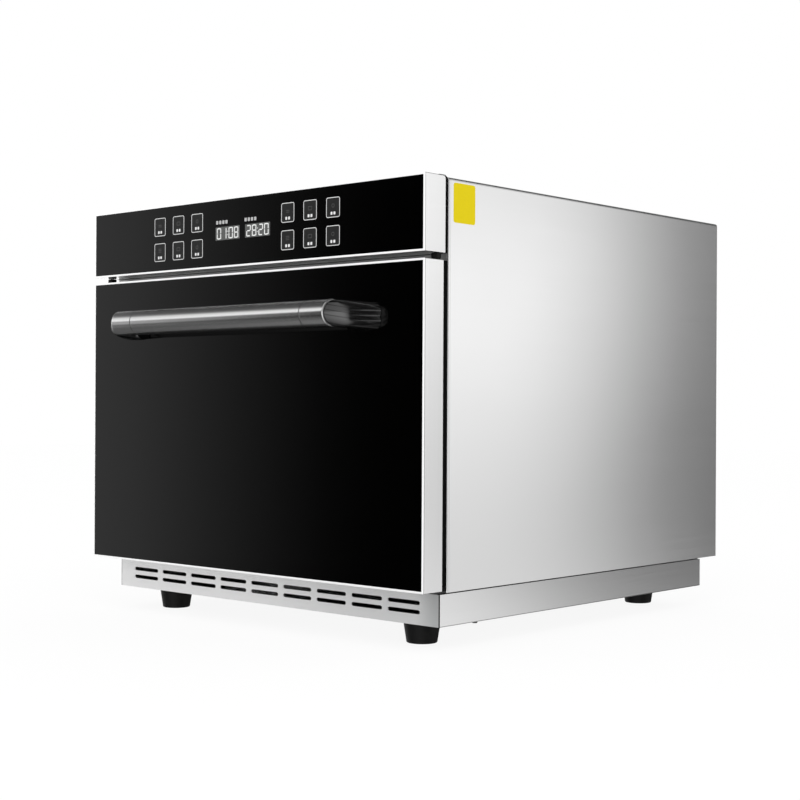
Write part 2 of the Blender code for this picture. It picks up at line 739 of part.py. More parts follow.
def convection_fan():
    """The radial fan wheel with its shaft through the cavity's back wall."""
    centre = (0, CAVITY_MIDDLE)
    back = CAVITY_BACK - FAN_BACK_SPACE
    front = back - FAN_HEIGHT
    disc = [(FAN_RADIUS, back - FAN_DISC), (FAN_RADIUS, back)]
    mesh = turned("Y", centre, disc, 2 * ROUND_SIDES)
    origin = (0, back, CAVITY_MIDDLE)
    fan = place("convection_fan", mesh, "cavity_steel", origin, smooth=True)
    outline = star(FAN_BLADES, FAN_HUB_RADIUS, FAN_RADIUS - FAN_BLADE_THICKNESS, FAN_BLADE_THICKNESS)
    blades = prism("Y", moved(outline, centre), front, back - FAN_DISC / 2)
    join(fan, "fan_blades", blades)
    shaft = [(SHAFT_RADIUS, back - FAN_DISC / 2), (SHAFT_RADIUS, back + SHAFT_LENGTH)]
    join(fan, "fan_shaft", turned("Y", centre, shaft, SMALL_SIDES))


def convection_motor():
    """The fan motor on a long neck behind the cavity, bored for the shaft."""
    front = CAVITY_REAR + GAP
    neck_end = front + MOTOR_FLANGE_DEPTH + MOTOR_NECK_LENGTH
    bore = SHAFT_RADIUS + GAP
    bore_end = CAVITY_BACK - FAN_BACK_SPACE + SHAFT_LENGTH + GAP
    profile = [
        (bore, bore_end),
        (bore, front),
        (MOTOR_FLANGE_RADIUS, front),
        (MOTOR_FLANGE_RADIUS, front + MOTOR_FLANGE_DEPTH),
        (MOTOR_NECK_RADIUS, front + MOTOR_FLANGE_DEPTH),
        (MOTOR_NECK_RADIUS, neck_end),
        (MOTOR_RADIUS, neck_end),
        (MOTOR_RADIUS, neck_end + MOTOR_LENGTH),
    ]
    mesh = turned("Y", (0, CAVITY_MIDDLE), profile)
    place("convection_motor", mesh, "grey_steel", smooth=True)


def heater_path():
    """Points along the flat heater spiral and its two straight tails."""
    steps = round(HEATER_TURNS * HEATER_TURN_STEPS)
    y = CAVITY_BACK - HEATER_FROM_WALL
    points = []
    for i in range(steps + 1):
        angle = 2 * math.pi * i / HEATER_TURN_STEPS
        radius = HEATER_INNER_RADIUS + HEATER_TURN_PITCH * i / HEATER_TURN_STEPS
        points.append((radius * math.cos(angle), y, CAVITY_MIDDLE + radius * math.sin(angle)))
    tail = CAVITY_REAR + HEATER_TAIL
    bend = y + 2 * HEATER_TUBE_RADIUS
    ends = [points[0], points[-1]]
    starts = [(ends[0][0], level, ends[0][2]) for level in (tail, bend)]
    finishes = [(ends[1][0], level, ends[1][2]) for level in (bend, tail)]
    return starts + points[1:-1] + finishes


def heater_ends():
    """Where the heater's tails cross the cavity's back wall, as X and Z."""
    path = heater_path()
    return [(path[0][0], path[0][2]), (path[-1][0], path[-1][2])]


def heater_coil():
    """The sheathed heating element round the fan."""
    path = heater_path()
    loops = []
    for i, point in enumerate(path):
        before = path[max(i - 1, 0)]
        after = path[min(i + 1, len(path) - 1)]
        along = [b - a for a, b in zip(before, after)]
        length = math.sqrt(sum(v * v for v in along))
        along = [v / length for v in along]
        outward = (point[0], 0, point[2] - CAVITY_MIDDLE)
        reach = math.hypot(outward[0], outward[2])
        outward = [v / reach for v in outward]
        lean = sum(a * o for a, o in zip(along, outward))
        outward = [o - lean * a for a, o in zip(along, outward)]
        reach = math.sqrt(sum(v * v for v in outward))
        outward = [v / reach for v in outward]
        side = [
            along[1] * outward[2] - along[2] * outward[1],
            along[2] * outward[0] - along[0] * outward[2],
            along[0] * outward[1] - along[1] * outward[0],
        ]
        flat = circle(HEATER_TUBE_RADIUS, HEATER_TUBE_SIDES)
        loops.append([[p + u * o + v * s for p, o, s in zip(point, outward, side)] for u, v in flat])
    place("heater_coil", loft(bmesh.new(), loops), "heater_sheath", smooth=True)


def mode_stirrer():
    """The paddle wheel under the cavity roof that spreads the microwaves."""
    top = CAVITY_TOP - STIRRER_DROP
    outline = star(STIRRER_BLADES, STIRRER_BLADE_WIDTH, STIRRER_RADIUS, STIRRER_BLADE_WIDTH)
    mesh = prism("Z", moved(outline, (0, STIRRER_Y)), top - STIRRER_THICKNESS, top)
    stirrer = place("mode_stirrer", mesh, "aluminium", (0, STIRRER_Y, top))
    shaft = [
        (STIRRER_SHAFT_RADIUS, top - STIRRER_THICKNESS / 2),
        (STIRRER_SHAFT_RADIUS, CAVITY_ROOF + STIRRER_SHAFT_GRIP),
    ]
    join(stirrer, "stirrer_shaft", turned("Z", (0, STIRRER_Y), shaft, SMALL_SIDES))


def stirrer_motor():
    """The small gear motor over the roof that turns the stirrer."""
    bore = STIRRER_SHAFT_RADIUS + GAP
    bottom = CAVITY_ROOF + GAP
    profile = [
        (bore, CAVITY_ROOF + STIRRER_SHAFT_GRIP + GAP),
        (bore, bottom),
        (STIRRER_MOTOR_RADIUS, bottom),
        (STIRRER_MOTOR_RADIUS, bottom + STIRRER_MOTOR_HEIGHT),
    ]
    place("stirrer_motor", turned("Z", (0, STIRRER_Y), profile), "grey_steel", smooth=True)


def stirrer_cover():
    """The ceramic tray that shields the stirrer from the food."""
    top = CAVITY_TOP - GAP
    low = (-COVER_HALF, STIRRER_Y - COVER_HALF, top - COVER_DEPTH)
    high = (COVER_HALF, STIRRER_Y + COVER_HALF, top)
    place("stirrer_cover", pan(low, high, COVER_WALL, "Z", 1), "ceramic")


def microwave_feed(side, sign):
    """A waveguide on the roof with its magnetron standing on the outer end."""
    bottom = CAVITY_ROOF + GAP
    top = bottom + GUIDE_HEIGHT
    ends = sorted((sign * GUIDE_FROM_CENTRE, sign * GUIDE_END))
    low = (ends[0], STIRRER_Y - GUIDE_WIDTH / 2, bottom)
    high = (ends[1], STIRRER_Y + GUIDE_WIDTH / 2, top)
    guide = place(f"waveguide_{side}", pan(low, high, GUIDE_WALL, "Z", -1), "aluminium")
    centre = (sign * MAGNETRON_X, STIRRER_Y)
    radius = ANTENNA_RADIUS + ANTENNA_CLEARANCE
    hole = [(radius, top - GUIDE_WALL - OVERRUN), (radius, top + OVERRUN)]
    cut(guide, f"antenna_hole_{side}", turned("Z", centre, hole, SMALL_SIDES))
    foot = top + GAP
    outline = magnetron_outline(centre[0], foot)
    depth = (STIRRER_Y - MAGNETRON_DEPTH / 2, STIRRER_Y + MAGNETRON_DEPTH / 2)
    magnetron = place(f"magnetron_{side}", prism("Y", outline, *depth), "aluminium")
    antenna = [(ANTENNA_RADIUS, top - ANTENNA_LENGTH), (ANTENNA_RADIUS, foot + MAGNETRON_BASE / 2)]
    join(magnetron, f"antenna_{side}", turned("Z", centre, antenna, SMALL_SIDES))


def magnetron_outline(x, bottom):
    """A magnetron seen from the front: base, cooling fins and filter box."""
    core = MAGNETRON_CORE / 2
    wide = MAGNETRON_WIDTH / 2
    right = [(wide, bottom), (wide, bottom + MAGNETRON_BASE), (core, bottom + MAGNETRON_BASE)]
    for fin in range(1, MAGNETRON_FINS + 1):
        z = bottom + fin * MAGNETRON_FIN_PITCH
        right += [(core, z), (wide, z), (wide, z + MAGNETRON_FIN), (core, z + MAGNETRON_FIN)]
    top = bottom + (MAGNETRON_FINS + 1) * MAGNETRON_FIN_PITCH + MAGNETRON_BOX
    right.append((core, top))
    left = [(-u, v) for u, v in reversed(right)]
    return [(x + u, v) for u, v in right + left]


def power_supply(side, sign):
    """A transformer and its capacitor on the floor behind the cavity."""
    x = sign * TRANSFORMER_OFFSET
    y = CAVITY_REAR + REAR_BAY_CENTRE
    bottom = FLOOR_TOP + GAP
    top = bottom + TRANSFORMER_HEIGHT
    low = (x - TRANSFORMER_WIDTH / 2, y - TRANSFORMER_DEPTH / 2, bottom)
    high = (x + TRANSFORMER_WIDTH / 2, y + TRANSFORMER_DEPTH / 2, top)
    core = place(f"transformer_{side}", block(low, high), "grey_steel")
    middle = (bottom + top) / 2
    corner = (x - WINDING_WIDTH / 2, y - WINDING_DEPTH / 2, middle - WINDING_HEIGHT / 2)
    opposite = (x + WINDING_WIDTH / 2, y + WINDING_DEPTH / 2, middle + WINDING_HEIGHT / 2)
    join(core, f"winding_{side}", block(corner, opposite))
    x = sign * CAPACITOR_OFFSET
    half = (CAPACITOR_WIDTH / 2, CAPACITOR_DEPTH / 2)
    rim = CAPACITOR_RIM
    height = CAPACITOR_HEIGHT
    loops = []
    for inset, level in ((0, 0), (0, height), (rim, height), (rim, height - rim)):
        corner = (x - half[0] + inset, y - half[1] + inset)
        opposite = (x + half[0] - inset, y + half[1] - inset)
        outline = rounded_rectangle(corner, opposite, half[0] - 2 * rim, SLOT_ARC_STEPS)
        loops.append(on("Z", outline, bottom + level))
    place(f"capacitor_{side}", loft(bmesh.new(), loops), "aluminium", smooth=True)


def mains_filter():
    """The mains filter box in the middle of the rear bay."""
    y = CAVITY_REAR + REAR_BAY_CENTRE
    bottom = FLOOR_TOP + GAP
    lid, height = FILTER_LID, FILTER_HEIGHT
    loops = []
    for inset, level in ((0, 0), (0, height), (lid, height), (lid, height + lid)):
        corner = (-FILTER_WIDTH / 2 + inset, y - FILTER_DEPTH / 2 + inset)
        opposite = (FILTER_WIDTH / 2 - inset, y + FILTER_DEPTH / 2 - inset)
        loops.append(on("Z", rectangle(corner, opposite), bottom + level))
    place("mains_filter", loft(bmesh.new(), loops), "grey_steel")


def cooling_fan():
    """The square fan behind the vents: a frame with a motor spider, and its wheel."""
    centre = (-COOLER_OFFSET, BODY_TOP - COOLER_BELOW_TOP)
    back = REAR_FRONT - GAP
    front = back - COOLER_DEPTH
    bore = circle(COOLER_BORE_RADIUS, ROUND_SIDES, turn=math.pi / 4)
    reach = COOLER_SIZE / 2
    square = [(u * reach / max(abs(u), abs(v)), v * reach / max(abs(u), abs(v))) for u, v in bore]
    mesh = ring("Y", moved(square, centre), moved(bore, centre), front, back)
    frame = place("cooling_fan_frame", mesh, "black_plastic")
    arm_tip = (COOLER_BORE_RADIUS + reach) / 2
    arms = star(SPIDER_ARMS, SPIDER_RADIUS, arm_tip, SPIDER_ARM_WIDTH)
    spider = prism("Y", moved(arms, centre), back - SPIDER_THICKNESS, back - GAP)
    join(frame, "fan_spider", spider)
    pin = [(WHEEL_PIN_RADIUS, front + SPIDER_THICKNESS), (WHEEL_PIN_RADIUS, back - SPIDER_THICKNESS / 2)]
    join(frame, "fan_pin", turned("Y", centre, pin, SMALL_SIDES))
    wheel_back = back - SPIDER_THICKNESS - GAP
    loops = []
    for step in range(WHEEL_STEPS + 1):
        share = step / WHEEL_STEPS
        outline = star(WHEEL_BLADES, WHEEL_HUB_RADIUS, WHEEL_RADIUS, WHEEL_BLADE_WIDTH, share * WHEEL_TWIST)
        loops.append(on("Y", moved(outline, centre), wheel_back - WHEEL_DEPTH * (1 - share)))
    origin = (centre[0], wheel_back, centre[1])
    wheel = place("cooling_fan_wheel", loft(bmesh.new(), loops), "black_plastic", origin)
    radius = WHEEL_PIN_RADIUS + GAP
    hole = [(radius, wheel_back - WHEEL_DEPTH - OVERRUN), (radius, wheel_back + OVERRUN)]
    cut(wheel, "wheel_bore", turned("Y", centre, hole, SMALL_SIDES))


def lamp_centre():
    """The lamp's place on the right cavity wall, as Y and Z."""
    return (CAVITY_FRONT + LAMP_FROM_FRONT, CAVITY_TOP - LAMP_BELOW_TOP)


def lamp():
    """The lamp's glass lens in the right cavity wall and its holder behind."""
    flange_radius = LAMP_HOLE_RADIUS + LAMP_FLANGE
    inside = CAVITY_HALF - GAP
    profile = [
        (flange_radius - LAMP_FLANGE / 2, inside - LAMP_FLANGE_THICKNESS),
        (flange_radius, inside - LAMP_FLANGE_THICKNESS / 2),
        (flange_radius, inside),
        (LAMP_HOLE_RADIUS - GAP, inside),
        (LAMP_HOLE_RADIUS - GAP, CAVITY_SIDE),
    ]
    place("lamp_lens", turned("X", lamp_centre(), profile), "lens_glass", smooth=True)
    start = CAVITY_SIDE + GAP
    profile = [
        (LAMP_HOLDER_RADIUS, start),
        (LAMP_HOLDER_RADIUS, start + LAMP_HOLDER_LENGTH / 2),
        (LAMP_HOLE_RADIUS, start + LAMP_HOLDER_LENGTH),
    ]
    place("lamp_holder", turned("X", lamp_centre(), profile), "ceramic", smooth=True)


def interlock(side, sign):
    """A door switch behind the front frame and the plunger that the door holds in."""
    x = sign * SWITCH_X
    z = DOOR_TOP - SWITCH_BELOW_TOP
    front = FRAME_BACK + GAP
    low = (x - SWITCH_WIDTH / 2, front, z - SWITCH_HEIGHT / 2)
    high = (x + SWITCH_WIDTH / 2, front + SWITCH_DEPTH, z + SWITCH_HEIGHT / 2)
    switch = place(f"interlock_switch_{side}", block(low, high), "black_plastic")
    tip = LINER_BACK + GAP
    end = tip + PLUNGER_LENGTH
    hole = [(PLUNGER_RADIUS + GAP, front - OVERRUN), (PLUNGER_RADIUS + GAP, end + GAP)]
    cut(switch, f"plunger_bore_{side}", turned("Y", (x, z), hole, SMALL_SIDES))
    profile = [
        (PLUNGER_RADIUS - GAP, tip),
        (PLUNGER_RADIUS, tip + GAP),
        (PLUNGER_RADIUS, end),
    ]
    mesh = turned("Y", (x, z), profile, SMALL_SIDES)
    place(f"interlock_plunger_{side}", mesh, "silicone", (x, tip, z), smooth=True)


def hinge_bracket(side, sign):
    """The fixed hinge arm through the front frame, and its pin."""
    x = sign * HINGE_X
    half = HINGE_ARM_WIDTH / 2
    plate_front = FRAME_BACK + GAP
    plate_back = plate_front + HINGE_PLATE_THICKNESS
    quarter = math.pi / 2
    tip = arc((HINGE_Y, HINGE_Z), HINGE_ARM_RADIUS, quarter, 3 * quarter, HINGE_ARM_STEPS)
    back = [(plate_back, HINGE_Z - HINGE_ARM_RADIUS), (plate_back, HINGE_Z + HINGE_ARM_RADIUS)]
    mesh = prism("X", tip + back, x - half, x + half)
    bracket = place(f"hinge_bracket_{side}", mesh, "grey_steel")
    bottom = HINGE_Z - HINGE_ARM_RADIUS - HINGE_CLEARANCE
    low = (x - HINGE_PLATE_WIDTH / 2, plate_front, bottom)
    high = (x + HINGE_PLATE_WIDTH / 2, plate_back, bottom + HINGE_PLATE_HEIGHT)
    join(bracket, f"hinge_plate_{side}", block(low, high))
    hole = [(PIN_RADIUS + GAP, x - half - OVERRUN), (PIN_RADIUS + GAP, x + half + OVERRUN)]
    cut(bracket, f"pin_hole_{side}", turned("X", (HINGE_Y, HINGE_Z), hole, SMALL_SIDES))
    reach = half + HINGE_CLEARANCE + CLEVIS_WALL + GAP
    inner = x - sign * (reach + PIN_HEAD)
    shoulder = x - sign * reach
    profile = [
        (PIN_RADIUS + PIN_HEAD, inner),
        (PIN_RADIUS + PIN_HEAD, shoulder),
        (PIN_RADIUS, shoulder),
        (PIN_RADIUS, x + sign * reach),
    ]
    mesh = turned("X", (HINGE_Y, HINGE_Z), profile, SMALL_SIDES)
    origin = (x, HINGE_Y, HINGE_Z)
    place(f"hinge_pin_{side}", mesh, "grey_steel", origin, smooth=True)


def hinge_clevis(side, sign, door):
    """The door's forked hinge plate, which turns on the pin."""
    x = sign * HINGE_X
    inner = HINGE_ARM_WIDTH / 2 + HINGE_CLEARANCE
    outer = inner + CLEVIS_WALL
    web_back = HINGE_Y - HINGE_ARM_RADIUS - HINGE_CLEARANCE
    web_front = web_back - CLEVIS_WALL
    back = DOOR_BACK - DOOR_WALL - GAP
    outline = [
        (x - outer, web_front),
        (x + outer, web_front),
        (x + outer, back),
        (x + inner, back),
        (x + inner, web_back),
        (x - inner, web_back),
        (x - inner, back),
        (x - outer, back),
    ]
    bottom = HINGE_Z - HINGE_ARM_RADIUS
    mesh = prism("Z", outline, bottom, bottom + CLEVIS_HEIGHT)
    origin = (x, HINGE_Y, HINGE_Z)
    clevis = place(f"hinge_clevis_{side}", mesh, "grey_steel", origin, door)
    hole = [(PIN_RADIUS + GAP, x - outer - OVERRUN), (PIN_RADIUS + GAP, x + outer + OVERRUN)]
    cut(clevis, f"clevis_hole_{side}", turned("X", (HINGE_Y, HINGE_Z), hole, SMALL_SIDES))


def tray_section(front, depth, wall, flange):
    """The folded section of a front tray: trim, wall and rear flange."""
    back = front + depth
    return [
        (0, front),
        (0, back),
        (flange, back),
        (flange, back - wall),
        (wall, back - wall),
        (wall, front + TRIM_DEPTH),
        (TRIM_WIDTH, front + TRIM_DEPTH),
        (TRIM_WIDTH, front),
    ]


def tray_glass(low, high):
    """The glass that fills a front tray inside its trim."""
    inset = TRIM_WIDTH + GAP
    front = DOOR_FRONT + GLASS_RECESS
    corner = (low[0] + inset, front, low[1] + inset)
    return block(corner, (high[0] - inset, front + GLASS_THICKNESS, high[1] - inset))


def hinge_notch(sign):
    """The space in the door's lower corner that the fixed hinge arm needs."""
    x = sign * HINGE_X
    wide = HINGE_ARM_WIDTH / 2 + HINGE_CLEARANCE
    reach = HINGE_ARM_RADIUS + HINGE_CLEARANCE
    low = (x - wide, HINGE_Y - reach, DOOR_BOTTOM - OVERRUN)
    high = (x + wide, LINER_BACK + OVERRUN, HINGE_Z + reach)
    return block(low, high)


def mouth_outline(margin):
    """The cavity mouth's outline, widened all round by a margin."""
    half = CAVITY_HALF + margin
    return rectangle((-half, CAVITY_BOTTOM - margin), (half, CAVITY_TOP + margin))


def door_shell(door):
    """The door's steel tray, glass, black liner, inner panel and seal."""
    half = DOOR_WIDTH / 2
    low, high = (-half, DOOR_BOTTOM), (half, DOOR_TOP)
    section = tray_section(DOOR_FRONT, DOOR_DEPTH, DOOR_WALL, DOOR_FLANGE)
    tray = place("door_frame", rim_frame(low, high, section), "polished_trim", door.location, door)
    place("door_glass", tray_glass(low, high), "black_glass", door.location, door)
    window_low = (LINER_RIM - half, HINGE_Z - LINER_DROP + LINER_FOOT_RIM)
    window_high = (half - LINER_RIM, DOOR_TOP - LINER_RIM)
    side = half - LINER_INSET
    outer = rectangle((-side, HINGE_Z - LINER_DROP), (side, DOOR_TOP - LINER_INSET))
    inner = rectangle(window_low, window_high)
    mesh = ring("Y", outer, inner, LINER_FRONT, LINER_BACK)
    liner = place("door_liner", mesh, "black_plastic", door.location, door)
    for side, sign in SIDES:
        notch = helper(f"door_notch_{side}", hinge_notch(sign))
        boolean(tray, notch, "DIFFERENCE")
        boolean(liner, notch, "DIFFERENCE")
    corner = (window_low[0] + GAP, LINER_FRONT, window_low[1] + GAP)
    opposite = (window_high[0] - GAP, LINER_FRONT + INNER_PANEL_DEPTH, window_high[1] - GAP)
    mesh = pan(corner, opposite, INNER_PANEL_WALL, "Y", -1)
    place("door_inner_panel", mesh, "cavity_steel", door.location, door)
    inner = mouth_outline(SEAL_MARGIN)
    outer = mouth_outline(SEAL_MARGIN + SEAL_WIDTH)
    mesh = ring("Y", outer, inner, LINER_FRONT + INNER_PANEL_DEPTH + GAP, LINER_BACK)
    place("door_seal", mesh, "silicone", door.location, door)


def handle(door):
    """The tube handle: bar, end sleeves and the black elbows that hold it."""
    centre = (HANDLE_Y, HANDLE_Z)
    outer = circle(HANDLE_RADIUS, ROUND_SIDES, centre)
    inner = circle(HANDLE_RADIUS - HANDLE_WALL, ROUND_SIDES, centre)
    half = HANDLE_BAR_LENGTH / 2
    mesh = ring("X", outer, inner, -half, half)
    place("handle_bar", mesh, "satin_handle", door.location, door, smooth=True)
    for side, sign in SIDES:
        ends = sorted((sign * SLEEVE_START, sign * SLEEVE_END))
        mesh = ring("X", outer, inner, *ends)
        place(f"handle_sleeve_{side}", mesh, "satin_handle", door.location, door, smooth=True)
        mesh = elbow(sign)
        place(f"handle_elbow_{side}", mesh, "black_plastic", door.location, door, smooth=True)


def elbow(sign):
    """A solid that turns from the sleeve's round end to an oblong foot on the glass."""
    foot_y = DOOR_FRONT - GAP
    start_in, start_out = HANDLE_Y + HANDLE_RADIUS, HANDLE_Y - HANDLE_RADIUS
    loops = []
    for step in range(ELBOW_STEPS + 1):
        share = step / ELBOW_STEPS
        angle = share * math.pi / 2
        rise = share + ELBOW_ROUND_SHARE * (math.sin(angle) - share)
        run = share + ELBOW_ROUND_SHARE * (1 - math.cos(angle) - share)
        out = (ELBOW_START + ELBOW_FOOT_OUT * rise, start_out + (foot_y - start_out) * run)
        inn = (ELBOW_START - ELBOW_FOOT_IN * share * share, start_in + (foot_y - start_in) * share)
        half_height = HANDLE_RADIUS + (ELBOW_FOOT_HEIGHT / 2 - HANDLE_RADIUS) * share
        square = 1 / (1 + share)
        loop = []
        for u, v in circle(1, ELBOW_POINTS):
            across = math.copysign(abs(u) ** square, u)
            up = math.copysign(abs(v) ** square, v)
            x = (out[0] + inn[0]) / 2 + across * (out[0] - inn[0]) / 2
            y = (out[1] + inn[1]) / 2 + across * (out[1] - inn[1]) / 2
            loop.append((sign * x, y, HANDLE_Z - ELBOW_FOOT_DROP * share + up * half_height))
        loops.append(loop)
    return loft(bmesh.new(), loops)


def control_panel():
    """The touch panel over the door: housing, glass, displays, board and backing."""
    half = DOOR_WIDTH / 2
    low, high = (-half, PANEL_BOTTOM), (half, PANEL_TOP)
    section = tray_section(DOOR_FRONT, PANEL_DEPTH, DOOR_WALL, PANEL_FLANGE)
    place("control_housing", rim_frame(low, high, section), "polished_trim")
    place("control_glass", tray_glass(low, high), "black_glass")
    glass_back = DOOR_FRONT + GLASS_RECESS + GLASS_THICKNESS
    display_back = glass_back + GAP + DISPLAY_DEPTH
    for side, sign in SIDES:
        x = sign * DISPLAY_OFFSET
        corner = (x - DISPLAY_WIDTH / 2, glass_back + GAP, PANEL_MIDDLE - DISPLAY_HEIGHT / 2)
        opposite = (x + DISPLAY_WIDTH / 2, display_back, PANEL_MIDDLE + DISPLAY_HEIGHT / 2)
        place(f"display_{side}", block(corner, opposite), "display_cell")
    corner = (-BOARD_WIDTH / 2, display_back + GAP, PANEL_MIDDLE - BOARD_HEIGHT / 2)
    opposite = (BOARD_WIDTH / 2, display_back + GAP + BOARD_THICKNESS, PANEL_MIDDLE + BOARD_HEIGHT / 2)
    place("control_board", block(corner, opposite), "circuit_board")
    side = half - BACKING_INSET
    top = PANEL_TOP + BACKING_RISE
    rim = BACKING_RIM
    outer = arch(side, PANEL_BOTTOM, top, BACKING_RADIUS, SLOT_ARC_STEPS)
    inner = arch(side - rim, PANEL_BOTTOM + rim, top - rim, BACKING_RADIUS, SLOT_ARC_STEPS)
    mesh = ring("Y", outer, inner, DOOR_FRONT + PANEL_DEPTH + GAP, BODY_FRONT - GAP)
    place("panel_backing", mesh, "black_plastic")


def door_buffer(side, sign):
    """The rubber buffer in the gap between the door and the control panel."""
    outer = DOOR_WIDTH / 2 - BUFFER_INSET
    ends = sorted((sign * outer, sign * (outer - BUFFER_WIDTH)))
    front = DOOR_FRONT + BUFFER_FROM_FRONT
    low = (ends[0], front, DOOR_TOP + BUFFER_CLEARANCE)
    high = (ends[1], front + BUFFER_DEPTH, PANEL_BOTTOM - GAP)
    place(f"door_buffer_{side}", block(low, high), "black_rubber")


def main():
    for thing in list(bpy.data.objects):
        bpy.data.objects.remove(thing, do_unlink=True)
    feet()
    base_tray()
    chassis_floor()
    outer_wrap()
    front_frame()
    rear_panel()
    cord_gland()
    oven_cavity()
    ceramic_plate()
    air_baffle()
    convection_fan()
    convection_motor()
    heater_coil()
    mode_stirrer()
    stirrer_motor()
    stirrer_cover()
    mains_filter()
    cooling_fan()
    lamp()
    control_panel()
    door = pivot("door_hinge_axis", (0, HINGE_Y, HINGE_Z))
    door_shell(door)
    handle(door)
    for side, sign in SIDES:
        microwave_feed(side, sign)
        power_supply(side, sign)
        interlock(side, sign)
        hinge_bracket(side, sign)
        hinge_clevis(side, sign, door)
        door_buffer(side, sign)


main()
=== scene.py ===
"""Studio scene of a countertop speed oven with a drop-down glass door.

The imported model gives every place. This script dresses it: finishes for all its solids,
softer versions of the outer pieces, the printed keys, the displays and the studio.
"""

import logging
import math
from dataclasses import dataclass, replace
from enum import Enum
from typing import Any, Callable, Optional, Sequence, Union

import bmesh
import bpy
from mathutils import Matrix, Vector


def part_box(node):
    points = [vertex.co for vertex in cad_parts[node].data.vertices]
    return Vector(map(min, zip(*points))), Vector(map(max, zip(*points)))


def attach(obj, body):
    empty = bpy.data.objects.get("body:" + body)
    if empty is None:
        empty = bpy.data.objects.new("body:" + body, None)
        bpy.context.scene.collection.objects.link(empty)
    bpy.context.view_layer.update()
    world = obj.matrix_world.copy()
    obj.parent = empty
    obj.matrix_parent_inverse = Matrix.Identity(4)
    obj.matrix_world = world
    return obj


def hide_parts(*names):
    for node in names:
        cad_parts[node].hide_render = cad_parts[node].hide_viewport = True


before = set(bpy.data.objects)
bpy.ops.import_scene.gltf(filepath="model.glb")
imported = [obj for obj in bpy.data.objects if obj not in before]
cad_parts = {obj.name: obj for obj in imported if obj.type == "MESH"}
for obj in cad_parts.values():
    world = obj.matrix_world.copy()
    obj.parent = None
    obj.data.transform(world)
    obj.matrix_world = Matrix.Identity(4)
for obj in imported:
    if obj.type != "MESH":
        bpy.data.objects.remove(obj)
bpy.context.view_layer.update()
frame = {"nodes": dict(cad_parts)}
LOG = logging.getLogger("speed_oven")
Triple = tuple[float, float, float]
Pair = tuple[float, float]

# Places nearer than this are the same, and a direction lies along an axis from this share of it on.
NEAR = 1e-5
ALONG = 0.9


class Body(Enum):
    """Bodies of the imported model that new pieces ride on."""

    CHASSIS = "chassis"
    DOOR = "door"


class Slot(Enum):
    """Material slots of the record."""

    STEEL = "brushed_steel"
    TRIM = "polished_trim"
    TUBE = "satin_handle"
    ZINC = "grey_steel"
    PLASTIC = "black_plastic"
    RUBBER = "black_rubber"
    DISPLAY = "display_cell"
    GLASS = "black_glass"


class Side(Enum):
    """The oven's two sides, as the sign of X."""

    LEFT = -1
    RIGHT = 1

    @property
    def word(self) -> str:
        """The side's name in lower case."""
        return self.name.lower()


class Axis(Enum):
    """The axis that a lathed shape turns about, as the turn that takes Z there."""

    X = (math.pi / 2, "Y")
    Y = (math.pi / 2, "X")
    Z = (0.0, "Z")

    @property
    def turn(self) -> Matrix:
        """The matrix that takes the Z axis to this one."""
        return Matrix.Rotation(self.value[0], 4, self.value[1])


class Value:
    """A number socket that takes Python's arithmetic."""

    def __init__(self, shader: "Shader", socket: bpy.types.NodeSocket) -> None:
        """Wraps a socket of a shader's tree."""
        self.shader = shader
        self.socket = socket

    def maths(self, operation: str, *terms: "Term") -> "Value":
        """Adds one Math node.

        Args:
            operation: the Math node's operation.
            terms: its inputs in order.

        Returns:
            The node's result.
        """
        return self.shader.value("ShaderNodeMath", {"operation": operation}, dict(enumerate(terms)))

    def __add__(self, other: "Term") -> "Value":
        """The sum."""
        return self.maths("ADD", self, other)

    __radd__ = __add__

    def __sub__(self, other: "Term") -> "Value":
        """The difference."""
        return self.maths("SUBTRACT", self, other)

    def __rsub__(self, other: "Term") -> "Value":
        """The difference, the other way round."""
        return self.maths("SUBTRACT", other, self)

    def __mul__(self, other: "Term") -> "Value":
        """The product."""
        return self.maths("MULTIPLY", self, other)

    __rmul__ = __mul__

    def __truediv__(self, other: "Term") -> "Value":
        """The quotient."""
        return self.maths("DIVIDE", self, other)

    def __mod__(self, other: "Term") -> "Value":
        """The rest after division, never negative."""
        return self.maths("FLOORED_MODULO", self, other)

    def __abs__(self) -> "Value":
        """The size without its sign."""
        return self.maths("ABSOLUTE", self)

    def ramp(self, low: float, high: float) -> "Value":
        """Rises smoothly from zero at low to one at high."""
        sockets = {"Value": self, "From Min": low, "From Max": high}
        return self.shader.value("ShaderNodeMapRange", {"interpolation_type": "SMOOTHSTEP"}, sockets)


Term = Union[Value, float, int]
Colour = Union[Triple, bpy.types.NodeSocket]
WHITE = (1.0, 1.0, 1.0)
BLACK = (0.0, 0.0, 0.0)


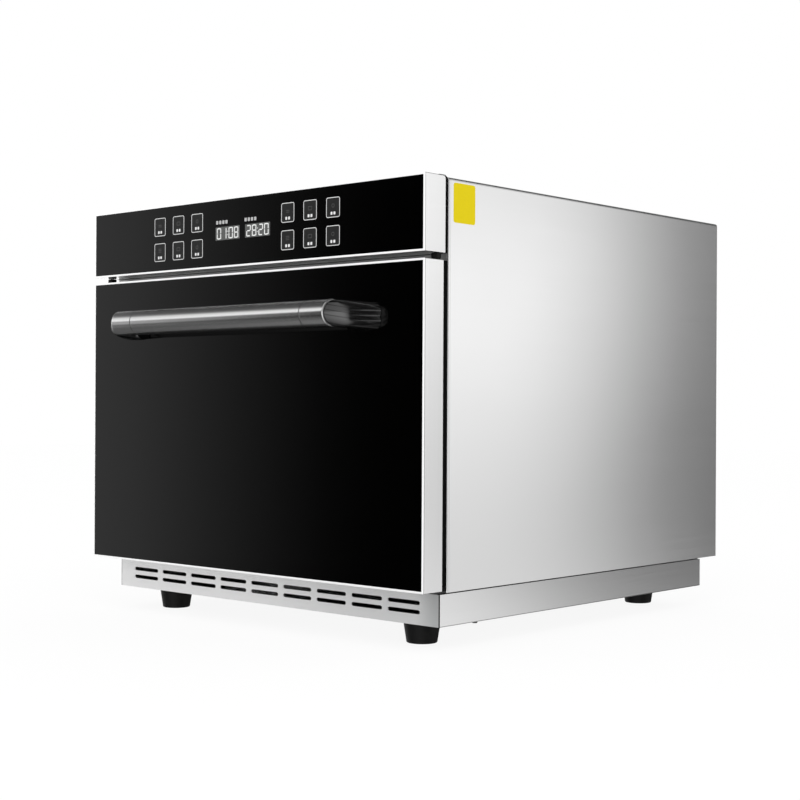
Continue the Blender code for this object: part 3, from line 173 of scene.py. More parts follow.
class Shader:
    """A node tree under way."""

    def __init__(self, tree: bpy.types.NodeTree, output: str = "ShaderNodeOutputMaterial") -> None:
        """Clears the tree and adds its output."""
        self.tree = tree
        tree.nodes.clear()
        self.output = self.node(output)

    def node(
        self, kind: str, settings: Optional[dict[str, Any]] = None, sockets: Optional[dict[Any, Any]] = None
    ) -> bpy.types.Node:
        """Adds a node.

        Args:
            kind: the node's type.
            settings: its own settings, set first. "stops" holds a ramp's (place, strength) pairs.
            sockets: values or links by socket name or number.

        Returns:
            The new node.
        """
        made = self.tree.nodes.new(kind)
        for key, setting in (settings or {}).items():
            if key != "stops":
                setattr(made, key, setting)
                continue
            stops = made.color_ramp.elements
            while len(stops) < len(setting):
                stops.new(1.0)
            for stop, (place, strength) in zip(stops, setting):
                stop.position = place
                stop.color = (strength, strength, strength, 1.0)
        for key, given in (sockets or {}).items():
            given = given.socket if isinstance(given, Value) else given
            if isinstance(given, bpy.types.NodeSocket):
                self.tree.links.new(given, made.inputs[key])
            elif isinstance(given, tuple) and len(given) == 3 and made.inputs[key].type == "RGBA":
                made.inputs[key].default_value = (*given, 1.0)
            else:
                made.inputs[key].default_value = given
        return made

    def value(self, kind: str, settings: Optional[dict[str, Any]], sockets: dict[Any, Any]) -> Value:
        """The first result of a new node, as a number."""
        return Value(self, self.node(kind, settings, sockets).outputs[0])

    def place(self, scale: Triple = (1.0, 1.0, 1.0)) -> bpy.types.NodeSocket:
        """The Object coordinates, in metres, stretched along each axis."""
        here = self.node("ShaderNodeTexCoord").outputs["Object"]
        return self.node("ShaderNodeMapping", None, {"Vector": here, "Scale": scale}).outputs[0]

    def axes(self, kind: str = "Object") -> list[Value]:
        """One kind of coordinates as three numbers."""
        here = self.node("ShaderNodeTexCoord").outputs[kind]
        return [Value(self, part) for part in self.node("ShaderNodeSeparateXYZ", None, {0: here}).outputs]

    def rays(self, kind: str) -> Value:
        """One for rays of this kind, zero for others."""
        return Value(self, self.node("ShaderNodeLightPath").outputs[kind])

    def seen(self) -> Value:
        """One for rays that reach the camera straight or through glass."""
        return self.rays("Is Camera Ray") + self.rays("Is Transmission Ray")

    def noise(self, scale: float, detail: float = 2.0, stretch: Triple = (1.0, 1.0, 1.0)) -> Value:
        """Soft noise from zero to one, with so many turns per metre."""
        sockets = {"Vector": self.place(stretch), "Scale": scale, "Detail": detail}
        return self.value("ShaderNodeTexNoise", None, sockets)

    def cells(self, scale: float) -> Value:
        """The distance to the nearest of scattered points."""
        return self.value("ShaderNodeTexVoronoi", None, {"Vector": self.place(), "Scale": scale})

    def mix(self, low: Colour, high: Colour, share: Term) -> bpy.types.NodeSocket:
        """A colour between two."""
        return self.node("ShaderNodeMix", {"data_type": "RGBA"}, {0: share, 6: low, 7: high}).outputs[2]

    def grey(self, tone: float, under: float, over: float, share: Term) -> bpy.types.NodeSocket:
        """A grey that runs from a little under a tone to a little over it."""
        return self.mix((tone - under,) * 3, (tone + over,) * 3, share)

    def bump(self, height: Value, depth: float) -> bpy.types.NodeSocket:
        """A normal that follows a height from zero to one, so many metres deep."""
        return self.node("ShaderNodeBump", None, {"Height": height, "Distance": depth}).outputs[0]

    def surface(self, **sockets: Any) -> None:
        """Adds the Principled shader with these sockets, spaces written as underscores."""
        named = {key.replace("_", " "): value for key, value in sockets.items()}
        made = self.node("ShaderNodeBsdfPrincipled", None, named)
        self.tree.links.new(made.outputs[0], self.output.inputs[0])

    def over(self, share: Value, kind: str, sockets: dict[str, Any]) -> None:
        """Lets a shader of another kind take this share of the surface."""
        lit = self.output.inputs[0].links[0].from_socket
        other = self.node(kind, None, sockets)
        mixed = self.node("ShaderNodeMixShader", None, {0: share, 1: lit, 2: other.outputs[0]})
        self.tree.links.new(mixed.outputs[0], self.output.inputs[0])


@dataclass(frozen=True)
class Finish:
    """A finish, made once and shared."""

    name: str

    def material(self) -> bpy.types.Material:
        """The finish's material."""
        found = bpy.data.materials.get(self.name)
        if found is None:
            found = bpy.data.materials.new(self.name)
            found.use_nodes = True
            self.paint(Shader(found.node_tree))
        return found

    def paint(self, shader: Shader) -> None:
        """Fills the node tree."""
        raise NotImplementedError


@dataclass(frozen=True)
class BrushedSteel(Finish):
    """Stainless sheet with fine brush lines along one axis."""

    tone: float = 0.82
    roughness: float = 0.24
    grain: Triple = (1.0, 0.006, 1.0)

    def brush(self, shader: Shader) -> Value:
        """The brush lines, which run where the grain is stretched."""
        return shader.noise(900.0, 3.0, self.grain)


@dataclass(frozen=True)
class CoverSteel(BrushedSteel):
    """Brushed sheet with the shade line of a fold behind its front edge."""

    name: str = "steel_brushed_cover"
    fold: float = -0.2504
    width: Pair = (0.00024, 0.0006)
    depth: float = 0.3

    def paint(self, shader: Shader) -> None:
        """Brush lines with the fold's shade over them."""
        lines = self.brush(shader)
        cloud = shader.noise(7.0, 3.0)
        share = (lines - 0.5) * 0.4 + (cloud - 0.5) * 0.2 + 0.5
        away = abs(shader.axes()[1] - self.fold)
        shade = (1.0 - away.ramp(*self.width)) * self.depth
        sheet = shader.grey(self.tone, 0.015, 0.015, share)
        shader.surface(
            Base_Color=shader.mix(sheet, (0.2,) * 3, shade),
            Metallic=1.0,
            Roughness=(lines - 0.5) * 0.04 + (cloud - 0.5) * 0.03 + self.roughness,
            Normal=shader.bump(lines, 0.000003),
        )


@dataclass(frozen=True)
class FrontPlate(BrushedSteel):
    """Brushed plate behind the door, with painted shade in plain black at its foot."""

    name: str = "steel_front_plate"
    tone: float = 0.8
    roughness: float = 0.45
    foot: Pair = (0.096, 0.1)
    grain: Triple = (0.006, 1.0, 1.0)

    def paint(self, shader: Shader) -> None:
        """Brush lines above the foot and plain black painted shade on it."""
        lines = self.brush(shader)
        # Painted shade: plain black below the foot stands in for the dark gap under the door.
        unshaded = shader.axes()[2].ramp(*self.foot)
        steel = shader.grey(self.tone, 0.03, 0.03, lines)
        shader.surface(
            Base_Color=shader.mix((0.006,) * 3, steel, unshaded),
            Metallic=unshaded,
            Roughness=(lines - 0.5) * 0.06 + self.roughness,
            Normal=shader.bump(lines, 0.000004),
        )


@dataclass(frozen=True)
class TrayMetal(BrushedSteel):
    """Brushed folded sheet whose polished front rim is made bright by a painted glow."""

    name: str = "steel_tray_front"
    tone: float = 0.93
    rim: float = -0.2936
    top: float = 0.5377
    shade: Pair = (0.0009, 0.0013)
    line: float = 0.0009
    soft: float = 0.0003
    painted_glow: float = 0.28
    grain: Triple = (0.006, 0.006, 1.0)

    def paint(self, shader: Shader) -> None:
        """Brushed behind the rim, bright and smooth on it with a painted glow, with a fine painted shade
        line between them and along the top edge.
        """
        lines = self.brush(shader)
        cloud = shader.noise(9.0, 3.0)
        _, depth, height = shader.axes()
        behind = depth.ramp(self.rim - self.soft, self.rim + self.soft)
        # Painted shade: a fine dark line just behind the rim, and one along the top edge.
        line = behind - depth.ramp(*(self.rim + back for back in self.shade))
        upper = height.ramp(self.top - self.line, self.top - self.line + self.soft) * behind
        line = line.maths("MAXIMUM", line, upper)
        share = (lines - 0.5) * 0.4 + (cloud - 0.5) * 0.3 + 0.5
        brushed = shader.grey(self.tone, 0.02, 0.02, share)
        shaded = shader.mix(brushed, (0.25,) * 3, line * 0.7)
        shader.surface(
            Base_Color=shader.mix((0.95,) * 3, shaded, behind),
            Metallic=behind * 0.75 + 0.25,
            Roughness=behind * (self.roughness - 0.3) + (lines - 0.5) * 0.05 + 0.3,
            # Painted glow: the rim emits light of its own.
            Emission_Color=shader.mix(WHITE, BLACK, behind),
            Emission_Strength=self.painted_glow,
            Normal=shader.bump(lines * behind, 0.000004),
        )


@dataclass(frozen=True)
class BaseSteel(BrushedSteel):
    """Brushed pan whose front is blasted duller than its sides, with painted shade that darkens the front
    towards one end and a painted glow on its other end.
    """

    name: str = "steel_base_pan"
    tone: float = 0.9
    roughness: float = 0.18
    painted_glow: float = 0.13
    front: Pair = (-0.2531, -0.2525)
    half: float = 0.2894
    seam: Pair = (0.0012, 0.0009)
    low: float = 0.0331
    foot: Pair = (0.0012, 0.0008)
    front_painted_shade_span: Triple = (-0.1, 0.2494, 0.2894)
    grain: Triple = (0.006, 0.006, 1.0)

    def paint(self, shader: Shader) -> None:
        """Fine lines all round, a satin front under painted shade and glow, dark seams at its corners, and
        a painted shade line along the sides' lower edge.
        """
        lines = self.brush(shader)
        cloud = shader.noise(9.0, 3.0)
        x, depth, height = shader.axes()
        behind = depth.ramp(*self.front)
        share = (lines - 0.5) * 0.5 + (cloud - 0.5) * 0.4 + 0.5
        start, middle, end = self.front_painted_shade_span
        # Painted shade: the front darkens towards its right end.
        front_painted_shade = x.ramp(start, end) * 0.45 + x.ramp(middle, end) * 0.55
        satin = shader.mix((0.86,) * 3, (0.53, 0.54, 0.54), front_painted_shade)
        sides = shader.grey(self.tone, 0.02, 0.03, share)
        seam = abs(x).ramp(*(self.half - inward for inward in self.seam)) * (1.0 - behind)
        # Painted shade: a dark line along the sides' lower edge, added to the corner seams.
        seam = seam + height.ramp(*(self.low + above for above in self.foot)) * behind * 0.55
        plain = shader.mix(satin, sides, behind)
        shader.surface(
            Base_Color=shader.mix(plain, (0.02,) * 3, seam),
            Metallic=behind * 0.85 + 0.15,
            # Painted glow on the front, fading out where its painted shade deepens.
            Emission_Color=shader.mix(WHITE, BLACK, behind.maths("MAXIMUM", behind, front_painted_shade)),
            Emission_Strength=self.painted_glow,
            Roughness=behind * (self.roughness - 0.42) + (lines - 0.5) * 0.05 + 0.42,
            Normal=shader.bump(lines, 0.000004),
        )


@dataclass(frozen=True)
class SatinTube(Finish):
    """Satin turned tube, with faint rings round it."""

    name: str = "steel_satin_tube"
    tone: float = 0.78
    roughness: float = 0.17
    joint: float = 0.1865
    joint_width: Pair = (0.0008, 0.0004)

    def paint(self, shader: Shader) -> None:
        """Fine rings across the tube, a soft cloud, and the dark joints with its sleeves."""
        rings = shader.noise(1400.0, 2.0, (1.0, 0.02, 0.02))
        cloud = shader.noise(22.0, 3.0)
        metal = shader.grey(self.tone, 0.05, 0.05, rings * 0.6 + cloud * 0.4)
        joint = abs(abs(shader.axes()[0]) - self.joint).ramp(*self.joint_width)
        shader.surface(
            Base_Color=shader.mix(metal, (0.12,) * 3, joint),
            Metallic=1.0,
            Roughness=(rings - 0.5) * 0.06 + (cloud - 0.5) * 0.05 + self.roughness,
            Normal=shader.bump(rings, 0.000006),
        )


@dataclass(frozen=True)
class Mottled(Finish):
    """Two tones in soft patches over a fine skin.

    The patches are (turns per metre, detail), the skin is (turns per metre, detail, depth), and
    gloss is the roughness, then how much the patches and the skin change it.
    """

    low: Triple
    high: Triple
    patches: Pair
    skin: Triple
    gloss: Triple
    metal: float = 0.0
    clear: float = 0.0
    bend: float = 1.5

    def paint(self, shader: Shader) -> None:
        """Patches in tone and gloss, and the skin in height."""
        patches = shader.noise(*self.patches)
        turns, detail, depth = self.skin
        skin = shader.noise(turns, detail)
        rough, patchy, grainy = self.gloss
        shader.surface(
            Base_Color=shader.mix(self.low, self.high, patches),
            Metallic=self.metal,
            Roughness=patches * patchy + (skin - 0.5) * grainy + rough,
            Transmission_Weight=self.clear,
            IOR=self.bend,
            Normal=shader.bump(skin, depth),
        )


BACKED_GLASS = Mottled(
    "glass_black", (0.0003,) * 3, (0.00048,) * 3, (14.0, 3.0), (5.0, 1.0, 0.00002), (0.025, 0.025, 0.0)
)
SILICONE = Mottled(
    "silicone_grey", (0.2, 0.195, 0.18), (0.28, 0.27, 0.25), (60.0, 3.0), (900.0, 2.0, 0.00003),
    (0.45, 0.2, 0.0),
)
LAMP_GLASS = Mottled(
    "glass_lamp_lens", (0.82, 0.87, 0.86), (0.92, 0.95, 0.94), (500.0, 2.0), (500.0, 2.0, 0.0001),
    (0.1, 0.2, 0.0), clear=0.6, bend=1.47,
)
OXIDE = Mottled(
    "steel_heater_sheath", (0.13, 0.11, 0.12), (0.36, 0.31, 0.27), (40.0, 4.0), (900.0, 2.0, 0.00003),
    (0.35, 0.2, 0.0), metal=1.0,
)
ALUMINIUM = Mottled(
    "aluminium_plain", (0.67,) * 3, (0.78,) * 3, (35.0, 3.0), (1300.0, 2.0, 0.00003),
    (0.36, 0.0, 0.1), metal=1.0,
)


@dataclass(frozen=True)
class MouldedPlastic(Finish):
    """Moulded black plastic with a fine spark texture."""

    name: str = "plastic_black"
    shade: float = 0.012
    roughness: float = 0.42
    grain: float = 2600.0
    depth: float = 0.00002
    gloss: float = 0.5

    def paint(self, shader: Shader) -> None:
        """Fine pits, and a cloud in tone and gloss."""
        pits = shader.cells(self.grain)
        cloud = shader.noise(45.0, 3.0)
        shader.surface(
            Base_Color=shader.mix((self.shade * 0.8,) * 3, (self.shade * 1.5,) * 3, cloud),
            Roughness=(cloud - 0.5) * 0.1 + self.roughness,
            Specular_IOR_Level=self.gloss,
            Normal=shader.bump(pits, self.depth),
        )


@dataclass(frozen=True)
class RibbedPlastic(Finish):
    """Glossy black plastic of the elbows, with painted reflections in the grooves towards the foot.

    Heights are those of the grooves at the foot, and the crest is a painted highlight along the upper
    edge, which falls outwards. The painted shades near the sleeve rise and drift with the bend. Reach is
    where the painted reflection stripes start and end, and the inner side is painted shade in matt black.
    Near and beside are the widths of the two soft painted shades where the stripes start.
    """

    name: str = "plastic_elbow"
    heights: tuple[float, ...] = (0.3864, 0.3806, 0.3748)
    stripe: Pair = (0.0012, 0.0003)
    shade: Pair = (0.0009, 0.0002)
    crest: float = 0.3991
    crest_reach: Pair = (0.2, 0.205)
    fall: float = 0.07
    reach: Pair = (0.214, 0.229)
    inner: float = 0.2
    drift: float = 0.2
    rise: float = 0.0028
    near: Pair = (0.009, 0.005)
    beside: Pair = (0.006, 0.002)
    edge: float = 0.001
    roughness: float = 0.13

    def paint(self, shader: Shader) -> None:
        """Fine pits under a gloss, painted reflection stripes in the grooves, a painted highlight on the
        crest, and matt black painted shade out of the light.
        """
        x, _, z = shader.axes()
        out, start = abs(x), self.reach[0]
        cloud = shader.noise(60.0, 3.0)
        tilted = z + (out - start) * self.drift - self.rise
        stripes = sum(abs(z - height).ramp(*self.stripe) for height in self.heights)
        shades = sum(abs(tilted - height).ramp(*self.shade) for height in self.heights)
        # Painted reflection: pale stripes in the grooves, from where the reach starts.
        groove_painted_reflection = stripes * out.ramp(*self.reach)
        # Painted shade: soft dark bands near the sleeve that follow the bend, and the whole inner side.
        sleeve_painted_shade = shades * out.ramp(*(start + width for width in self.near)) * 0.35
        sleeve_painted_shade = sleeve_painted_shade + out.ramp(start + self.beside[0], self.inner + self.beside[1]) * 0.3
        inner_painted_shade = out.ramp(self.inner, self.inner - self.edge)
        # Painted highlight: a pale line along the upper edge, falling outwards.
        falling = z + (out - self.crest_reach[0]) * self.fall
        crest = falling.ramp(self.crest - self.edge * 0.8, self.crest)
        crest = crest * out.ramp(self.crest_reach[1], start)
        black = shader.mix((0.003,) * 3, (0.006,) * 3, cloud)
        shader.surface(
            # Painted reflection stripes and the painted crest highlight over the black.
            Base_Color=shader.mix(shader.mix(black, (0.07,) * 3, groove_painted_reflection), (0.45,) * 3, crest),
            Roughness=(cloud - 0.5) * 0.05 + self.roughness,
            Specular_IOR_Level=1.0,
            IOR=1.65,
            Normal=shader.bump(shader.cells(2600.0), 0.000004),
        )
        # Plain matt black takes over as painted shade where those masks say.
        dark = {"Color": (0.003,) * 3}
        shader.over(sleeve_painted_shade.maths("MAXIMUM", sleeve_painted_shade, inner_painted_shade), "ShaderNodeBsdfDiffuse", dark)


@dataclass(frozen=True)
class Rubber(Finish):
    """Matt black rubber, dusty in places."""

    name: str = "rubber_black"
    shade: float = 0.006

    def paint(self, shader: Shader) -> None:
        """Dust as a paler, rougher cloud."""
        dust = shader.noise(90.0, 4.0).ramp(0.45, 0.8)
        fine = shader.noise(1500.0, 2.0)
        dusty = tuple(self.shade * part for part in (2.6, 2.5, 2.4))
        shader.surface(
            Base_Color=shader.mix((self.shade,) * 3, dusty, dust),
            Roughness=dust * 0.15 + 0.55,
            Specular_IOR_Level=0.2,
            Normal=shader.bump(fine, 0.00004),
        )


@dataclass(frozen=True)
class ZincSteel(Finish):
    """Zinc coated sheet with spangle."""

    name: str = "steel_zinc"
    tone: float = 0.56
    roughness: float = 0.4

    def paint(self, shader: Shader) -> None:
        """Crystal patches that differ in tone and gloss."""
        spangle = shader.cells(110.0) * 1.2
        cloud = shader.noise(30.0, 3.0)
        shader.surface(
            Base_Color=shader.grey(self.tone, 0.1, 0.08, spangle * 0.6 + cloud * 0.4),
            Metallic=1.0,
            Roughness=(spangle - 0.5) * 0.12 + self.roughness,
            Normal=shader.bump(cloud, 0.00003),
        )


@dataclass(frozen=True)
class CavitySteel(Finish):
    """Bead blasted stainless sheet of the cooking space, browned a little by heat."""

    name: str = "steel_cavity"
    tone: float = 0.66

    def paint(self, shader: Shader) -> None:
        """Heat tint in broad patches over a fine blasted grain."""
        heat = shader.noise(6.0, 4.0).ramp(0.5, 0.85)
        grain = shader.noise(1800.0, 2.0)
        plain = shader.grey(self.tone, 0.04, 0.04, grain)
        shader.surface(
            Base_Color=shader.mix(plain, (self.tone, self.tone * 0.9, self.tone * 0.76), heat * 0.5),
            Metallic=1.0,
            Roughness=grain * 0.08 + heat * 0.06 + 0.26,
            Normal=shader.bump(grain, 0.00002),
        )


@dataclass(frozen=True)
class Ceramic(Finish):
    """Speckled cooking ceramic."""

    name: str = "ceramic_speckled"

    def paint(self, shader: Shader) -> None:
        """Pale body with sparse darker specks."""
        specks = 1.0 - shader.cells(420.0).ramp(0.12, 0.2)
        cloud = shader.noise(12.0, 3.0)
        body = shader.mix((0.74, 0.71, 0.64), (0.83, 0.8, 0.74), cloud)
        shader.surface(
            Base_Color=shader.mix(body, (0.3, 0.26, 0.21), specks * 0.7),
            Roughness=cloud * 0.15 + 0.42,
            Normal=shader.bump(shader.noise(700.0, 3.0), 0.00004),
        )


@dataclass(frozen=True)
class CircuitBoard(Finish):
    """Green board with tracks."""

    name: str = "board_green"

    def paint(self, shader: Shader) -> None:
        """Tracks from stepped noise under the green lacquer."""
        tracks = shader.noise(260.0, 1.0, (1.0, 1.0, 0.12)).ramp(0.52, 0.55)
        pads = 1.0 - shader.cells(300.0).ramp(0.14, 0.18)
        lacquer = shader.mix((0.012, 0.09, 0.035), (0.03, 0.17, 0.07), tracks)
        shader.surface(
            Base_Color=shader.mix(lacquer, (0.55, 0.52, 0.45), pads),
            Roughness=0.5 - pads * 0.2,
            Normal=shader.bump(tracks, 0.00004),
        )


@dataclass(frozen=True)
class Paint(Finish):
    """Even coat of colour, such as print, a plain sticker or a lit display bar."""

    name: str = "print_grey"
    colour: Triple = (0.3, 0.3, 0.3)
    roughness: float = 0.4
    spread: float = 0.08
    glow: float = 0.0
    gloss: float = 0.5

    def paint(self, shader: Shader) -> None:
        """Slight cloud in the ink and its gloss."""
        cloud = shader.noise(260.0, 3.0)
        low = tuple(part * (1 - self.spread) for part in self.colour)
        high = tuple(min(part * (1 + self.spread), 1.0) for part in self.colour)
        ink = shader.mix(low, high, cloud)
        sockets: dict[str, Any] = {"Base_Color": ink, "Roughness": cloud * 0.12 + (self.roughness - 0.06)}
        if self.glow:
            sockets.update(Emission_Color=ink, Emission_Strength=self.glow)
        shader.surface(**sockets, Specular_IOR_Level=self.gloss, Normal=shader.bump(cloud, 0.000005))


@dataclass(frozen=True)
class Paper(Finish):
    """White floor that glows for the camera and keeps a faint shadow."""

    name: str = "floor_white"
    glow: float = 1.03
    share: float = 0.88

    def paint(self, shader: Shader) -> None:
        """Pale paper under an even glow."""
        shader.surface(Base_Color=shader.grey(0.85, 0.01, 0.01, shader.noise(3.0, 2.0)), Roughness=0.9)
        glow = {"Color": WHITE, "Strength": self.glow}
        shader.over(shader.seen() * self.share, "ShaderNodeEmission", glow)


def put(name: str, data: bpy.types.ID, place: Optional[Matrix] = None) -> bpy.types.Object:
    """Adds an object to the scene, at the origin unless a place is given."""
    made = bpy.data.objects.new(name, data)
    made.matrix_world = Matrix() if place is None else place
    bpy.context.scene.collection.objects.link(made)
    return made


def points(geometry: Sequence[Any]) -> list[bmesh.types.BMVert]:
    """The vertices among what an operator made."""
    return [part for part in geometry if isinstance(part, bmesh.types.BMVert)]


class Form:
    """One shape under way, made with bmesh operators."""

    def __init__(self) -> None:
        """Starts empty."""
        self.mesh = bmesh.new()

    def box(self, low: Triple, high: Triple) -> "Form":
        """Adds a closed box between two corners."""
        made = bmesh.ops.create_cube(self.mesh, size=1.0)["verts"]
        size = [top - bottom for bottom, top in zip(low, high)]
        middle = [(top + bottom) / 2 for bottom, top in zip(low, high)]
        bmesh.ops.scale(self.mesh, vec=size, verts=made)
        bmesh.ops.translate(self.mesh, vec=middle, verts=made)
        return self

    def tunnel(self, low: Triple, high: Triple, corner: float, thickness: float, floor: bool) -> "Form":
        """Adds a sheet folded round a box, open at the front and the rear.

        Args:
            low: the box's lower corner.
            high: its upper corner.
            corner: the radius of its upper folds.
            thickness: the sheet's thickness, inwards.
            floor: whether the sheet goes round the underside too.

        Returns:
            This form.
        """
        self.box(low, high)
        self.drop(self.faces(lambda middle, way: abs(way.y) > ALONG or (way.z < -ALONG and not floor)))
        folds = self.edges(lambda middle, way: abs(way.y) > ALONG and middle.z > high[2] - NEAR)
        self.bevel(folds, corner, 6)
        bmesh.ops.solidify(self.mesh, geom=self.mesh.faces[:], thickness=thickness)
        return self

    def lathe(
        self, axis: Axis, centre: Triple, profile: Sequence[Pair], closed: bool = False, steps: int = 96
    ) -> "Form":
        """Spins a profile into a round shape.

        Args:
            axis: the axis it turns about.
            centre: a point of that axis, from which distances along it count.
            profile: (radius, distance along the axis) points.
            closed: joins the last point to the first, for a ring.
            steps: facets round the axis.

        Returns:
            This form.
        """
        one = Form()
        verts = [one.mesh.verts.new((radius, 0.0, along)) for radius, along in profile]
        pairs = list(zip(verts, verts[1:])) + ([(verts[-1], verts[0])] if closed else [])
        edges = [one.mesh.edges.new(pair) for pair in pairs]
        turn = {"cent": (0, 0, 0), "axis": (0, 0, 1), "angle": 2 * math.pi}
        bmesh.ops.spin(one.mesh, geom=verts + edges, **turn, steps=steps, use_merge=True)
        return self.add(one.sealed().moved(Matrix.Translation(centre) @ axis.turn))

    def plate(
        self, middle: Pair, size: Pair, corner: float, front: float, thick: float, line: float = 0.0
    ) -> "Form":
        """Adds a thin plate that faces the front, or its outline alone.

        Args:
            middle: its middle, as (X, Z).
            size: its width and height.
            corner: the corners' radius.
            front: Y of its face.
            thick: its thickness.
            line: the width of the outline, or zero for a full plate.

        Returns:
            This form.
        """
        one = Form()
        bmesh.ops.create_grid(one.mesh, x_segments=1, y_segments=1, size=0.5)
        bmesh.ops.scale(one.mesh, vec=(*size, 1), verts=one.mesh.verts)
        if corner:
            one.bevel(one.mesh.verts[:], corner, 6, "VERTICES")
        if line:
            bmesh.ops.inset_individual(one.mesh, faces=one.mesh.faces[:], thickness=line)
            one.drop([one.largest(one.mesh.faces)])
        grown = bmesh.ops.extrude_face_region(one.mesh, geom=one.mesh.faces[:])["geom"]
        bmesh.ops.translate(one.mesh, vec=(0, 0, -thick), verts=points(grown))
        bmesh.ops.recalc_face_normals(one.mesh, faces=one.mesh.faces)
        place = Matrix.Translation((middle[0], front, middle[1]))
        return self.add(one.moved(place @ Matrix.Rotation(math.pi / 2, 4, "X")))

    def add(self, other: "Form") -> "Form":
        """Takes in another form."""
        carrier = bpy.data.meshes.new("carrier")
        other.mesh.to_mesh(carrier)
        self.mesh.from_mesh(carrier)
        bpy.data.meshes.remove(carrier)
        other.mesh.free()
        return self

    def sealed(self) -> "Form":
        """Merges doubles and turns all faces outwards."""
        bmesh.ops.remove_doubles(self.mesh, verts=self.mesh.verts, dist=1e-6)
        bmesh.ops.dissolve_degenerate(self.mesh, edges=self.mesh.edges, dist=1e-7)
        bmesh.ops.recalc_face_normals(self.mesh, faces=self.mesh.faces)
        return self

    def edges(self, wanted: Callable[[Vector, Vector], bool]) -> list[bmesh.types.BMEdge]:
        """The edges whose middle and direction pass a test."""
        found = []
        for edge in self.mesh.edges:
            one, two = (vert.co for vert in edge.verts)
            if wanted((one + two) / 2, (two - one).normalized()):
                found.append(edge)
        return found

    def faces(self, wanted: Callable[[Vector, Vector], bool]) -> list[bmesh.types.BMFace]:
        """The faces whose middle and normal pass a test."""
        self.mesh.normal_update()
        return [face for face in self.mesh.faces if wanted(face.calc_center_median(), face.normal)]

    def largest(self, faces: Sequence[bmesh.types.BMFace]) -> bmesh.types.BMFace:
        """The largest of some faces."""
        return max(faces, key=lambda face: face.calc_area())

    def bevel(
        self, parts: Sequence[Any], offset: float, segments: int = 5, affect: str = "EDGES"
    ) -> "Form":
        """Rounds some edges or corners."""
        shape = {"offset": offset, "segments": segments, "profile": 0.5}
        bmesh.ops.bevel(self.mesh, geom=list(parts), **shape, affect=affect, material=-1)
        return self

    def drop(self, faces: Sequence[bmesh.types.BMFace]) -> "Form":
        """Removes some faces."""
        bmesh.ops.delete(self.mesh, geom=list(faces), context="FACES")
        return self

    def moved(self, matrix: Matrix) -> "Form":
        """Moves the whole form."""
        bmesh.ops.transform(self.mesh, matrix=matrix, verts=self.mesh.verts)
        return self

    def sheet(self, name: str, finish: Finish) -> bpy.types.Mesh:
        """The form as a mesh with its finish, which ends the form."""
        made = bpy.data.meshes.new(name)
        self.mesh.to_mesh(made)
        self.mesh.free()
        made.materials.append(finish.material())
        return made

    def piece(
        self,
        name: str,
        finish: Finish,
        slot: Slot,
        replaces: Sequence[str] = (),
        body: Body = Body.CHASSIS,
        edge: float = 0.0,
        smooth: float = 35.0,
    ) -> None:
        """Makes the form a piece of the oven.

        Args:
            name: the piece's name.
            finish: its finish.
            slot: the record's slot of its finish; not used.
            replaces: the CAD nodes it stands for.
            body: the body it rides on.
            edge: the radius of its softened edges.
            smooth: the angle in degrees under which faces shade as one.
        """
        data = self.sheet(name, finish)
        data.shade_smooth()
        data.set_sharp_from_angle(angle=math.radians(smooth))
        made = put(name, data)
        if edge:
            soften(made, edge, 3)
        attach(made, body.value)
        if replaces:
            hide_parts(*replaces)
        LOG.info("piece %s on %s", name, body.value)


def soften(piece: bpy.types.Object, edge: float, segments: int) -> None:
    """Adds a small bevel to every sharp edge of a piece."""
    bevel = piece.modifiers.new("soft_edges", "BEVEL")
    bevel.width = edge
    bevel.segments = segments
    bevel.limit_method = "ANGLE"
    bevel.angle_limit = math.radians(40)
    bevel.harden_normals = True


def dress(names: Sequence[str], finish: Finish, edge: float = 0.0) -> None:
    """Gives CAD nodes their finish.

    Args:
        names: the nodes.
        finish: their finish.
        edge: the radius of their softened edges, or zero.
    """
    for name in names:
        node = frame["nodes"][name]
        if not node.data.materials:
            node.data.materials.append(None)
        for slot in node.material_slots:
            slot.material = finish.material()
        if edge:
            weld = node.modifiers.new("joined", "WELD")
            weld.merge_threshold = 0.000005
            flat = node.modifiers.new("flat_faces", "DECIMATE")
            flat.decimate_type = "DISSOLVE"
            flat.angle_limit = math.radians(0.5)
            soften(node, edge, 2)
        LOG.info("finish %s on %s", finish.name, name)


def both(stem: str) -> list[str]:
    """The left and right node of this name."""
    return [f"{stem}_{side.word}" for side in Side]


def clamp(share: float) -> float:
    """The share kept between zero and one."""
    return max(0.0, min(share, 1.0))


def quarter(radius: float) -> list[Pair]:
    """The points of a quarter round as (out, along), from its start at (0, 0)."""
    turns = [step / 6 * math.pi / 2 for step in range(7)]
    return [(radius * math.sin(turn), radius - radius * math.cos(turn)) for turn in turns]


